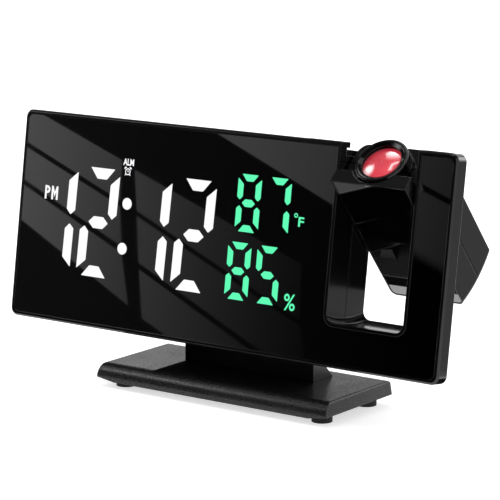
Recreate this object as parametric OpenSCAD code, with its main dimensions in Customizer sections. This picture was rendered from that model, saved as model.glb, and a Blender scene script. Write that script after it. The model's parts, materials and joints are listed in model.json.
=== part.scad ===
// Projection alarm clock: a leaning mirror panel on a low stand, with a projector arm
// that turns in a window through the panel.
//
// Panel space has X across the panel, Y into its depth from the front face and Z up its
// slope from the lower edge. Arm space has its origin on the hinge axis, with Y through the
// arm's thickness and Z along the arm towards the lens.

/* [Panel] */
// Width of the front panel
panel_w = 190; // [184:1:210]
// Lean of the panel from upright, degrees
panel_tilt = 8.5; // [0:0.5:14]
// Distance from the stand's centre forward to the panel's lower front edge
panel_forward = 19.4; // [16:0.1:22]
// Height of the panel's lower front edge above the stand plate
panel_lift = 12.7; // [11:0.1:18]
// Radius of the panel's corners
panel_corner = 3; // [2.2:0.1:5]
// Depth of the rim that stands round the panel
rim_depth = 5.7; // [5:0.1:7]
// Thickness of the rim's wall
rim_wall = 2; // [1.6:0.1:2.4]
// Chamfer of the rim's front edge
rim_chamfer = 0.7; // [0.3:0.1:1]
// Width of the bezel between the rim's edge and the mirror
bezel_w = 1.7; // [1.4:0.1:2.2]
// Thickness of the mirror panel
mirror_t = 1.8; // [1.4:0.1:2]
// Recess of the mirror's face behind the bezel
mirror_recess = 0.2; // [0.1:0.05:0.4]
// Thickness of the frame's floor behind the mirror
floor_t = 1.8; // [1.4:0.1:2.2]

/* [Housing] */
// Depth of the whole panel and housing
housing_depth = 23.5; // [22.5:0.1:26]
// Step from the rim's outside in to the housing
housing_inset = 2.7; // [2.5:0.1:3.2]
// Wall of the housing's sides
housing_wall = 2; // [1.6:0.1:2.4]
// Thickness of the housing's back
back_wall = 2.2; // [1.8:0.1:2.6]
// Distance that the housing's ends draw in towards the back
end_taper = 8; // [4:0.5:10]
// Depth of the seam between frame and housing in the window
window_seam = 11.7; // [11.4:0.1:12.5]

/* [Window] */
// Width of the window that the arm turns in
window_w = 31.4; // [30:0.1:33]
// Width of the panel that is left beside the window
column_w = 15.5; // [15:0.1:18]
// Width of the lip between the window and the mirror
lip_w = 1.2; // [0.8:0.1:1.6]
// How much rounder the window's lower corners are than the arm's
corner_ease = 0.8; // [0.6:0.1:1.2]
// Wall of the window's lining
lining_wall = 1.5; // [1.2:0.1:1.8]

/* [Arm] */
// Height of the trough's lowest line above the panel's lower edge
trough_low = 14.2; // [13.8:0.1:15.2]
// Distance from the hinge up to the panel's upper edge
pivot_down = 13.3; // [12.6:0.1:15]
// Depth of the hinge behind the panel's front face
pivot_in = 11; // [10.5:0.1:11.3]
// Angle of the arm from its closed place, degrees
arm_angle = 49; // [40:1:60]
// Radius of the arm's lower end about the hinge
arm_reach = 50; // [47:0.1:54]
// Clearance of the arm's end in the window's trough
end_gap = 0.4; // [0.4:0.1:1]
// Clearance of the arm at each side of the window
side_gap = 0.6; // [0.6:0.1:1]
// Thickness of the arm
arm_t = 23.6; // [22:0.1:24]
// Rounding of the arm's lower corners
arm_corner = 2.4; // [1.8:0.1:3]
// Depth of the seam between the arm's two shells
arm_seam = 12; // [11.6:0.1:12.6]
// Width of the groove along that seam
seam_w = 0.5; // [0.3:0.1:0.8]
// Depth of the groove along that seam
seam_in = 0.3; // [0.2:0.05:0.5]
// Wall of the arm's shells
arm_wall = 1.8; // [1.4:0.1:2]
// Thickness of the front shell's face with its mirror
arm_face = 2.6; // [2.4:0.1:3]
// Thickness of the arm's own mirror
arm_mirror_t = 1.2; // [1:0.1:1.4]
// Border round the arm's mirror
arm_border = 0.8; // [0.6:0.1:1.2]
// Height of the lip in front of the lens, above the hinge
head_lip = 12.7; // [12:0.1:13.4]
// Thickness of that lip
head_lip_t = 5.3; // [4:0.1:6]
// Height of the deck round the lens, above the hinge
deck_up = 8; // [7.6:0.1:8.4]
// Radius of the head's back about the hinge
head_round = 13; // [12.4:0.1:14]
// Rounding of the head's back corners
head_corner = 3.6; // [1:0.1:4]

/* [Lens] */
// Radius of the focus ring
ring_r = 9.8; // [9.6:0.1:10]
// Height of the focus ring's top above the hinge
ring_top = 12.9; // [12.4:0.1:13.2]
// Radius of the fixed collar under the ring
collar_r = 10.2; // [10:0.1:10.4]
// Thickness of that collar
collar_t = 1.2; // [1:0.1:1.3]
// Radius of the spigot that the ring turns on
spigot_r = 8.6; // [8.5:0.05:8.7]
// Radius of the lens carrier
carrier_r = 7.8; // [7.6:0.05:7.9]
// Radius of the projection lens
lens_r = 7.3; // [7.1:0.05:7.35]
// Rise of the lens's front face
lens_rise = 1.3; // [0.8:0.1:1.6]
// Overhang of the ring's lip over the lens's edge
ring_over = 0.15; // [0:0.05:0.25]
// Travel of the lens each way as it is focused
focus_travel = 0.8; // [0.4:0.1:0.8]

/* [Hinge] */
// Radius of the hollow hinge pins
pin_r = 3.5; // [3.2:0.1:3.8]
// Radius of the hole through a hinge pin
pin_bore = 2.2; // [1.8:0.1:2.4]
// Radius of the flange that the arm's shells hold
flange_r = 5; // [4.6:0.1:5.4]
// Thickness of that flange
flange_t = 1.2; // [1:0.1:1.6]
// Length of pin beyond the window's lining
pin_out = 2.2; // [2:0.1:2.6]
// Thickness of the retaining clip
clip_t = 0.8; // [0.6:0.1:1]
// Thickness of the friction washer beside the arm
washer_t = 0.5; // [0.3:0.05:0.55]
// Radius of the friction washer
washer_r = 5.4; // [5:0.1:6]

/* [Stand] */
// Width of the stand plate below its rounded upper edges
stand_w = 101.2; // [96:0.2:120]
// Depth of the stand plate
stand_d = 41.7; // [40:0.1:50]
// Thickness of the plate's top shell
plate_t = 4.8; // [4.4:0.1:6]
// Wall of the plate's top shell
plate_wall = 2; // [1.6:0.1:2.2]
// Thickness of the bottom cover
bottom_t = 1.4; // [1.2:0.1:2]
// Length of the slope at each end of the bottom cover
end_slope = 8; // [4:0.5:10]
// Rounding of the plate's front edge
nose_r = 4.5; // [3:0.1:4.8]
// Rounding of the plate's other upper edges
edge_r = 1; // [0.4:0.1:1.4]
// Draft of the plate's two ends, degrees
end_draft = 10; // [0:1:12]
// Height of the feet under the plate
foot_h = 2.57; // [2:0.01:4]
// Radius of the feet
foot_r = 3.73; // [3:0.01:5]
// Distance of the feet from the middle, across
foot_x = 43.9; // [38:0.1:45]
// Distance of the front feet from the plate's front edge
foot_front = 8.15; // [7:0.05:10]
// Distance of the rear feet from the plate's back edge
foot_back = 5.5; // [5:0.1:8]
// Width of the neck
neck_w = 57.6; // [54:0.2:62]
// Distance of the neck's middle to the right of the stand's
neck_x = 1.1; // [0:0.1:3]
// Thickness of the neck
neck_t = 8.4; // [8:0.1:9]
// Distance from the stand's centre back to the neck's front
neck_back = 2.1; // [1.6:0.1:2.6]
// Height and depth of the slope behind the neck's foot
neck_flare = 4; // [2:0.1:5]
// Length of the tongue that the neck pushes into the housing
tongue_l = 10; // [8:0.5:12]
// Distance of the tongue's ends from the neck's ends
tongue_in = 5; // [4:0.5:8]

/* [Display] */
// Distance of the digit field from the panel's left edge
display_side = 9; // [8:0.5:10.5]
// Distance of the digit field from the window
display_gap = 10.1; // [9.1:0.1:11]
// Height of the digit field above the panel's lower edge
display_low = 14.5; // [13.5:0.5:16.5]
// Distance of the digit field from the panel's upper edge
display_drop = 11.9; // [11.4:0.1:13]
// Depth of the reflector block behind the mirror
reflector_d = 5.9; // [4:0.1:6.2]
// Width of a time digit in the drawn field
time_w = 16.6; // [15:0.1:17]
// Height of a time digit in the drawn field
time_h = 40.3; // [36:0.1:41]
// Stroke of a time digit
time_stroke = 4.05; // [3:0.05:4.2]
// Width of a climate digit in the drawn field
climate_w = 10.2; // [9:0.1:10.6]
// Height of a climate digit in the drawn field
climate_h = 20.4; // [18:0.1:20.6]
// Stroke of a climate digit
climate_stroke = 2.45; // [1.8:0.05:2.6]
// Radius of the colon's dots
dot_r = 2.15; // [1.5:0.05:2.4]
// Thickness of the display board
board_t = 1.6; // [1:0.1:1.7]

/* [Back] */
// Distance between neighbouring keys
key_pitch = 16; // [12:0.5:16]
// Length of a key cap
key_l = 9; // [7:0.1:10]
// Height of a key cap
key_h = 5; // [4:0.1:6]
// How far a key cap stands out of the housing's back
key_out = 0.9; // [0.6:0.1:1.4]
// Travel of a key
key_travel = 0.5; // [0.2:0.1:0.6]
// Radius of the battery cover
cover_r = 12; // [11.8:0.1:13]
// Radius of the coin cell
cell_r = 10; // [9.5:0.1:10]
// Thickness of the coin cell
cell_t = 3.2; // [2.5:0.1:3.4]

/* [Fits] */
// Running clearance of pins and bores, on the radius
run_fit = 0.05; // [0.02:0.01:0.08]
// Clearance of a panel in its pocket
pocket_gap = 0.1; // [0.05:0.01:0.15]
// Clearance round a moving key or cover
slide_gap = 0.15; // [0.1:0.01:0.25]

/* [Hidden] */
$fn = 64;
eps = 0.01;
far = 200;

// Heights and places in the row's own frame
plate_low = foot_h + bottom_t;
plate_top = plate_low + plate_t;
end_drop = plate_t - edge_r * (1 - sin(end_draft));
plate_foot = stand_w / 2 - edge_r * (1 - cos(end_draft)) + end_drop * tan(end_draft);
panel_z = plate_top + panel_lift;
panel_y = -panel_forward;
window_x = panel_w / 2 - column_w - window_w / 2;
trough_r = arm_reach + end_gap;
pivot_up = trough_low + trough_r;
panel_h = pivot_up + pivot_down;
pivot_y = panel_y + pivot_up * sin(panel_tilt) + pivot_in * cos(panel_tilt);
lean = arm_angle - panel_tilt;
arm_back = arm_t - pivot_in;
arm_low = sqrt(arm_reach * arm_reach - arm_back * arm_back);
rearmost_y = pivot_y + arm_back * cos(lean) + arm_low * sin(lean);
middle_y = (rearmost_y - stand_d / 2) / 2;

// Depths in panel space
mirror_back = mirror_recess + mirror_t;
floor_back = mirror_back + floor_t;
board_front = mirror_back + eps + reflector_d;
board_back = board_front + board_t;
back_in = housing_depth - back_wall;

// Window and arm
low_x = window_x - window_w / 2;
lip_foot = pivot_up - sqrt(pow(trough_r + lip_w, 2) - pow(pivot_in, 2));
window_corner = arm_corner + corner_ease;
arm_w = window_w - 2 * side_gap;
arm_front = -pivot_in;
seam_y = arm_seam - pivot_in;

// Screws: [head radius, head height, shank radius]
M2 = [1.9, 1.3, 0.95];
M3 = [2.5, 1.8, 1.25];
screw_gap = 0.1;

// Digit field: the size it is drawn at, its edges, and how far the panel spreads it
drawn_w = 124;
drawn_h = 51.5;
display_left = -panel_w / 2 + display_side;
display_right = low_x - display_gap;
display_high = panel_h - display_drop;
spread_u = (display_right - display_left) / drawn_w;
spread_v = (display_high - display_low) / drawn_h;
function field_place(spot) = [display_left + spot[0] * spread_u, display_low + spot[1] * spread_v];

// Rear cover's screws, as places in panel space, and the frame's posts for them
cover_low = housing_inset + housing_wall + 4;
cover_high = panel_h - housing_inset - housing_wall - 4;
cover_side = panel_w / 2 - housing_inset - end_taper - housing_wall - 3.5;
cover_spots = [
    [-cover_side, cover_low], [-cover_side, cover_high], [display_right + 2.5, cover_low],
    [display_right + 2.5, cover_high - 1], [window_x, cover_low - 1]];
post_r = 2.6;
post_back = housing_depth - 9.5;
recess_d = 6.5;
cover_screw_l = 9;

// Display board, with its screws in its lower and upper margins
board_screw_low = display_low - 4.5;
board_screw_high = display_high + 3.6;
board_spots = [for (u = [34, 92], v = [board_screw_low, board_screw_high]) [field_place([u, 0])[0], v]];
board_low = display_low - 7.5;
board_high = display_high + 6;
board_right = low_x - lining_wall - 4;
board_left = display_left - 1;

// Digit places in the drawn field, from its lower left corner: [left edge, bottom edge]
time_low = 4.25;
time_spots = [[21.5, time_low], [46.2, time_low], [66, time_low]];
one_spot = [1.75, time_low];
colon_spots = [field_place([42.4, 32.65]), field_place([41.8, 16.1])];
climate_spots = [[91.95, 28.15], [104.75, 28.15], [89.95, 3.9], [102.75, 3.9]];
// Status windows in the drawn field: [left, bottom, width, height]
status_drawn = [
    [3.1, 30, 7.6, 6.4], [39.4, 42.5, 5.4, 6.8], [116.9, 32.1, 5, 5.4], [115.6, 2.6, 5.4, 6.6]];
status_spots = [for (s = status_drawn) concat(field_place(s), [s[2] * spread_u, s[3] * spread_v])];
window_d = 1.5;

// Keys, sockets and the rest of the housing's back
key_v = panel_h - 18;
key_flange = 0.8;
key_flange_t = 1;
stem_r = 1.6;
stem_l = 1.6;
switch_w = 6;
switch_h = 3.6;
switch_bore = key_travel + 0.6;
key_board_t = 1.2;
switch_floor = back_in - eps - key_flange_t - stem_l - key_travel - 0.1;
key_board_front = switch_floor + switch_bore - switch_h - key_board_t;
key_middle = low_x - 48.1;
key_board_h = 12;
key_board_end = 4.8;
cell_u = -panel_w / 2 + 34;
cell_v = 39;
cup_wall = 1.4;
cup_floor = back_in - 1.6 - cell_t - 1.4;
lug_t = 1.1;
buzzer_u = -22;
buzzer_v = 38;
buzzer_r = 6;
buzzer_h = 6.6;
usb_u = 4;
usb_v = 38;
usb_w = 13.6;
usb_h = 6.2;
jack_u = low_x - 22.1;
jack_v = 38;
jack_w = 9.2;
jack_h = 10.6;
jack_hole = 2.9;
nose_out = 3.9;
sensor_u = low_x - 9.5;
sensor_v = 22;

// Stand and its socket in the housing
pod_w = neck_w + 4;
pod_high = 26;
pod_depth = housing_depth + 9;
tongue_w = neck_w - 2 * tongue_in;
tongue_spots = [neck_x - 14, neck_x + 14];
neck_spots = [neck_x - 18, neck_x + 18];
foot_sink = 0.6;
bottom_spots = [[-46, 0], [46, 0]];

// Projector inside the arm
tunnel_half = -arm_front - arm_face;
tunnel_wall = 1.2;
tunnel_top = -12;
screen_t = 2;
tunnel_low = 14.8 - arm_reach;
lamp_board_t = 1.2;
arm_screw_u = arm_w / 2 - arm_wall - 2;
arm_screw_spots = [for (u = [-arm_screw_u, arm_screw_u], w = [-9, 8.5 - arm_reach]) [u, w]];
ring_low = deck_up + collar_t + 0.1;
ring_lip = 0.9;
carrier_top = ring_top - ring_lip - focus_travel - 0.1;
carrier_low = -4;
lens_edge = 1.2;
lens_seat = carrier_top - lens_edge - 0.3;

// Finishes
gloss = [0.03, 0.03, 0.035];
satin = [0.09, 0.09, 0.1];
mirror_black = [0.015, 0.015, 0.02];
steel = [0.7, 0.7, 0.72];
green_board = [0.05, 0.28, 0.14];

// ---- Places and basic shapes ----

module row_frame() translate([0, -middle_y, 0]) children();
module panel_space() row_frame() translate([0, panel_y, panel_z]) rotate([-panel_tilt, 0, 0]) children();
module hinge_place() panel_space() translate([window_x, pivot_in, pivot_up]) children();
module arm_space() hinge_place() rotate([arm_angle, 0, 0]) children();

// A front outline, drawn in width and height, between two depths
module slab(front, back) translate([0, back, 0]) rotate([90, 0, 0]) linear_extrude(back - front) children();

// A side outline, drawn in depth and height, between two places across
module bar(left, right) translate([left, 0, 0]) rotate([90, 0, 90]) linear_extrude(right - left) children();

// A rectangle with round corners, given by its edges
module round_rect(left, low, right, high, r) {
    translate([left + r, low]) square([right - left - 2 * r, high - low]);
    translate([left, low + r]) square([right - left, high - low - 2 * r]);
    for (x = [left + r, right - r], y = [low + r, high - r]) translate([x, y]) circle(r);
}

// The panel's outline, drawn in by a distance
module panel_outline(inset, r)
    round_rect(-panel_w / 2 + inset, inset, panel_w / 2 - inset, panel_h - inset, r);

// A wheel about the X axis with rounded rims
module wheel(r, width, corner) rotate([0, 90, 0]) rotate_extrude($fn = 180) {
    translate([0, -width / 2]) square([r - corner, width]);
    translate([0, corner - width / 2]) square([r, width - 2 * corner]);
    for (side = [-1, 1]) intersection() {
        translate([r - corner, side * (width / 2 - corner)]) circle(corner);
        translate([0, -width]) square([r, 2 * width]);
    }
}

// A round bar across the panel, with its middle at the hinge
module cross_rod(left, right, r) translate([left, 0, 0]) rotate([0, 90, 0]) cylinder(r = r, h = right - left);

// A round bar through the depth
module depth_rod(front, back, r) translate([0, front, 0]) rotate([-90, 0, 0]) cylinder(r = r, h = back - front);

// A pan-head screw along Z with its head's top at the origin and its shank below
module screw(size, length) difference() {
    union() {
        translate([0, 0, -size[1]]) cylinder(r = size[0], h = size[1]);
        translate([0, 0, -size[1] - length]) cylinder(r = size[2], h = length + eps);
    }
    for (a = [0, 90]) rotate(a) translate([-size[0] * 0.6, -0.25, -0.7]) cube([size[0] * 1.2, 0.5, 1]);
}

// ---- Seven-segment digits ----

// One segment of a digit as a polygon: a is the top, then clockwise to f, and g is the middle
function half_digit(w, h, s) = [
    [w, h - 0.6 * s], [w - s, h - 1.45 * s], [w - s, h / 2 + 0.9 * s],
    [w - 0.5 * s, h / 2 + 0.42 * s], [w, h / 2 + 0.84 * s]];
function cap_bar(w, h, s) = [[0.65 * s, h], [w - 0.65 * s, h], [w - 1.5 * s, h - s], [1.5 * s, h - s]];
function mid_bar(w, h, s) = [
    [0.92 * s, h / 2], [1.5 * s, h / 2 + 0.54 * s], [w - 1.5 * s, h / 2 + 0.54 * s],
    [w - 0.92 * s, h / 2], [w - 1.5 * s, h / 2 - 0.54 * s], [1.5 * s, h / 2 - 0.54 * s]];
function flip_x(points, w) = [for (p = points) [w - p[0], p[1]]];
function flip_y(points, h) = [for (p = points) [p[0], h - p[1]]];
function right_pair(w, h, s) = [half_digit(w, h, s), flip_y(half_digit(w, h, s), h)];
function all_seven(w, h, s) = concat(
    right_pair(w, h, s), [for (p = right_pair(w, h, s)) flip_x(p, w)],
    [cap_bar(w, h, s), flip_y(cap_bar(w, h, s), h), mid_bar(w, h, s)]);
function middle_of(points) = [for (i = [0, 1]) (max([for (p = points) p[i]]) + min([for (p = points) p[i]])) / 2];
function moved(list, spot) = [for (points = list) [for (p = points) p + spot]];

time_size = [time_w * spread_u, time_h * spread_v];
climate_size = [climate_w * spread_u, climate_h * spread_v];
time_shapes = concat(
    moved(right_pair(time_size[0], time_size[1], time_stroke), field_place(one_spot)),
    [for (spot = time_spots) each moved(all_seven(time_size[0], time_size[1], time_stroke), field_place(spot))]);
climate_shapes = [
    for (spot = climate_spots)
        each moved(all_seven(climate_size[0], climate_size[1], climate_stroke), field_place(spot))];
lamp_spots = concat(
    [for (points = concat(time_shapes, climate_shapes)) middle_of(points)], colon_spots,
    [for (s = status_spots) [s[0] + s[2] / 2, s[1] + s[3] / 2]]);

module shapes(list, front, back) for (points = list) slab(front, back) polygon(points);
module dots(front, back, r) for (spot = colon_spots) translate([spot[0], 0, spot[1]]) depth_rod(front, back, r);
module status(front, back, gap) for (s = status_spots)
    translate([s[0] + gap, front, s[1] + gap]) cube([s[2] - 2 * gap, back - front, s[3] - 2 * gap]);

// ---- Panel ----

// The space of the window, with its trough round the hinge
module window_space(grow) translate([window_x, pivot_in, pivot_up])
    wheel(trough_r + grow, window_w + 2 * grow, window_corner + grow);

// The window's lining between two depths, up to the housing's top wall
module window_lining(front, back, high) difference() {
    intersection() {
        window_space(lining_wall);
        translate([0, front, 0]) cube([panel_w / 2, back - front, high]);
    }
    window_space(0);
    hinge_holes();
}

// Bearings of the hinge pins in the lining
module hinge_holes() translate([window_x, pivot_in, pivot_up])
    cross_rod(-window_w / 2 - lining_wall - 1, window_w / 2 + lining_wall + 1, pin_r + run_fit);

module front_frame() color(gloss) panel_space() {
    difference() {
        hull() {
            slab(0, eps) panel_outline(rim_chamfer, panel_corner - rim_chamfer, $fn = 32);
            slab(rim_chamfer, rim_depth) panel_outline(0, panel_corner, $fn = 32);
        }
        slab(-1, mirror_back) difference() {
            panel_outline(bezel_w, panel_corner - bezel_w / 2);
            lip_outline(0);
        }
        slab(floor_back, rim_depth + 1) panel_outline(rim_wall, panel_corner / 2);
        slab(mirror_back - 1, floor_back + 1) translate([display_left - pocket_gap, display_low - pocket_gap])
            square([display_right - display_left, display_high - display_low] + [2, 2] * pocket_gap);
        window_space(0);
    }
    difference() {
        intersection() {
            window_lining(floor_back - eps, window_seam, panel_h);
            union() {
                housing_block(housing_wall + 0.05, back_in);
                slab(floor_back - 1, floor_back + 0.3) panel_outline(housing_inset + housing_wall + 0.05, 2.5);
            }
        }
        translate([low_x - lining_wall - 1, pivot_in, pivot_up - pin_r - run_fit])
            cube([window_w + 2 * lining_wall + 2, window_seam, 2 * (pin_r + run_fit)]);
    }
    for (spot = cover_spots) post(spot, post_back, M3[2] + screw_gap);
    for (spot = board_spots) post(spot, board_front, M2[2] + screw_gap);
}

// The lip round the window, drawn out by a gap
module lip_outline(gap) translate([low_x - lip_w - gap, lip_foot - gap])
    round_rect(0, 0, window_w + 2 * (lip_w + gap), panel_h, window_corner + lip_w);

// A post on the frame's floor with a blind hole from behind
module post(spot, back, hole) translate([spot[0], 0, spot[1]]) difference() {
    depth_rod(floor_back - eps, back, post_r);
    depth_rod(floor_back + 0.6, back + 1, hole);
}

module mirror_panel() color(mirror_black) panel_space() slab(mirror_recess, mirror_back - eps) difference() {
    panel_outline(bezel_w + pocket_gap, panel_corner - bezel_w / 2 - pocket_gap);
    lip_outline(pocket_gap);
}

// ---- Display ----

module digit_reflector() color([0.12, 0.12, 0.13]) panel_space() difference() {
    translate([display_left, mirror_back, display_low])
        cube([display_right - display_left, reflector_d, display_high - display_low]);
    shapes(concat(time_shapes, climate_shapes), mirror_back - 1, board_front + 1);
    dots(mirror_back - 1, board_front + 1, dot_r);
    status(mirror_back - 1, board_front + 1, 0);
}

module time_segments() color([0.95, 0.95, 0.97]) panel_space() {
    shapes(time_shapes, mirror_back, mirror_back + window_d);
    dots(mirror_back, mirror_back + window_d, dot_r);
}

module climate_segments() color([0.4, 0.95, 0.7]) panel_space()
    shapes(climate_shapes, mirror_back, mirror_back + window_d);

module status_windows() color([0.9, 0.92, 0.95]) panel_space()
    status(mirror_back, mirror_back + window_d, 0);

module display_leds() color([0.95, 0.9, 0.6]) panel_space() for (spot = lamp_spots)
    translate([spot[0] - 0.8, board_front - 0.8, spot[1] - 0.5]) cube([1.6, 0.8, 1]);

module display_board() color(green_board) panel_space() difference() {
    translate([board_left, board_front, board_low])
        cube([board_right - board_left, board_t, board_high - board_low]);
    for (spot = cover_spots) translate([spot[0], 0, spot[1]])
        depth_rod(board_front - 1, board_back + 1, post_r + 0.6);
    for (spot = board_spots) translate([spot[0], 0, spot[1]])
        depth_rod(board_front - 1, board_back + 1, M2[2] + 2 * screw_gap);
}

module board_chips() color([0.08, 0.08, 0.09]) panel_space() {
    chip([50, -0.5], [12, 1.8, 12]);
    chip([122, 37.5], [4, 3.2, 9]);
    chip([82, 35.5], [5, 1.4, 4]);
    for (x = [0, 4]) translate([field_place([102, 0])[0] + x, 0, field_place([0, 5.5])[1]])
        depth_rod(board_back, board_back + 5.4, 1.9);
}

// A flat part on the board's back, with its lower left corner at a place of the field
module chip(spot, size) translate([field_place(spot)[0], board_back, field_place(spot)[1]]) cube(size);

module board_screws() color(steel) panel_space() for (spot = board_spots)
    translate([spot[0], board_back + M2[1], spot[1]]) rotate([-90, 0, 0]) screw(M2, 4.6);

module buzzer() color(gloss) panel_space() translate([buzzer_u, 0, buzzer_v]) difference() {
    depth_rod(board_back, board_back + buzzer_h, buzzer_r);
    depth_rod(board_back + buzzer_h - 1, board_back + buzzer_h + 1, 1);
}

// ---- Sockets and sensor ----

module usb_socket() color(steel) panel_space() translate([usb_u, 0, usb_v]) {
    difference() {
        translate([-usb_w / 2, board_back, -usb_h / 2]) cube([usb_w, housing_depth - board_back, usb_h]);
        translate([-usb_w / 2 + 0.5, housing_depth - 9, -usb_h / 2 + 0.5])
            cube([usb_w - 1, 10, usb_h - 1]);
    }
    translate([-usb_w / 2 + 1.2, housing_depth - 9 - eps, 0.2]) cube([usb_w - 2.4, 8, 1.8]);
}

module power_jack() color(gloss) panel_space() translate([jack_u, 0, jack_v]) {
    difference() {
        union() {
            translate([-jack_w / 2, board_back, -jack_h / 2]) cube([jack_w, back_in - 0.1 - board_back, jack_h]);
            depth_rod(back_in - 1, housing_depth - 0.3, nose_out);
        }
        depth_rod(housing_depth - 10, housing_depth + 1, jack_hole);
    }
    depth_rod(housing_depth - 10 - eps, housing_depth - 1.8, 1);
}

module climate_sensor() color([0.9, 0.9, 0.92]) panel_space()
    translate([sensor_u - 2, back_in - 2.4 - eps, sensor_v - 4]) cube([4, 2.4, 8]);

// ---- Keys ----

function key_place(i) = key_middle + (i - 2) * key_pitch;

module key_spot(i) translate([key_place(i), 0, key_v]) children();

module key_board() color(green_board) panel_space() difference() {
    translate([key_place(0) - key_board_end, key_board_front, key_v - key_board_h / 2])
        cube([4 * key_pitch + 2 * key_board_end, key_board_t, key_board_h]);
    for (i = [0.5, 3.5]) key_spot(i) depth_rod(key_board_front - 1, key_board_front + key_board_t + 1, 1.2);
}

module key_switches() color(satin) panel_space() for (i = [0:4]) key_spot(i) difference() {
    translate([-switch_w / 2, key_board_front + key_board_t, -switch_w / 2]) cube([switch_w, switch_h, switch_w]);
    depth_rod(switch_floor, housing_depth, stem_r + slide_gap);
}

module key_cap(i) color(satin) panel_space() key_spot(i) {
    slab(back_in - eps, housing_depth + key_out) round_rect(-key_l / 2, -key_h / 2, key_l / 2, key_h / 2, 1.2);
    slab(back_in - eps - key_flange_t, back_in - eps)
        round_rect(-key_l / 2 - key_flange, -key_h / 2 - key_flange,
            key_l / 2 + key_flange, key_h / 2 + key_flange, 1.2);
    depth_rod(back_in - eps - key_flange_t - stem_l, back_in - eps - key_flange_t + eps, stem_r);
}

module key_mode() key_cap(0);
module key_up() key_cap(1);
module key_down() key_cap(2);
module key_alarm() key_cap(3);
module key_snooze() key_cap(4);

// ---- Battery ----

module coin_cell() color(steel) panel_space() translate([cell_u, 0, cell_v]) {
    depth_rod(cup_floor + 1.4, cup_floor + 1.4 + cell_t - 0.5, cell_r);
    depth_rod(cup_floor + 1.4 + cell_t - 0.5 - eps, cup_floor + 1.4 + cell_t, cell_r - 1.6);
}

// A strip bent up under the cell
module battery_spring() color(steel) panel_space() bar(cell_u - 2, cell_u + 2) polygon([
    [cup_floor, cell_v - 8], [cup_floor + 0.4, cell_v - 8], [cup_floor + 0.4, cell_v - 2],
    [cup_floor + 1.4, cell_v + 4], [cup_floor + 1.4, cell_v + 6], [cup_floor + 1, cell_v + 6],
    [cup_floor, cell_v - 2]]);

module battery_cover() color(satin) panel_space() translate([cell_u, 0, cell_v]) difference() {
    union() {
        depth_rod(back_in - 0.8, housing_depth, cover_r);
        depth_rod(back_in - 1.5, back_in - 0.5, cell_r - 0.4);
        for (a = [0, 120, 240]) rotate([0, a, 0]) intersection() {
            depth_rod(back_in - 0.7 - lug_t, back_in - 0.7, cover_r + 1.4);
            translate([0, back_in - 3, -2]) cube([far, 4, 4]);
            difference() {
                depth_rod(back_in - 4, housing_depth, far / 4);
                depth_rod(back_in - 5, housing_depth + 1, cover_r - 1);
            }
        }
    }
    translate([-7, housing_depth - 1.2, -0.9]) cube([14, 2, 1.8]);
}

// ---- Rear cover ----

// The housing's tapering block, drawn in by a wall
module housing_block(wall, back) {
    half = panel_w / 2 - housing_inset - wall;
    low = housing_inset + wall;
    high = panel_h - housing_inset - wall;
    hull($fn = 32) {
        slab(floor_back + 0.05, floor_back + 3) round_rect(-half, low, half, high, 2.5);
        slab(back - 3, back - 2.9) round_rect(-half + end_taper, low + 0.8, half - end_taper, high - 0.8, 3.5);
        slab(back - eps, back) round_rect(-half + end_taper + 2, low + 2.6, half - end_taper - 2, high - 2.6, 3.5);
    }
}

// The raised pod low on the back that holds the stand's tongue
module stand_pod() hull($fn = 32) {
    slab(housing_depth - 6, housing_depth)
        round_rect(neck_x - pod_w / 2, housing_inset, neck_x + pod_w / 2, pod_high, 2);
    slab(pod_depth - 0.1, pod_depth)
        round_rect(neck_x - pod_w / 2 + 2, housing_inset, neck_x + pod_w / 2 - 2, pod_high - 7, 2);
}

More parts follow.
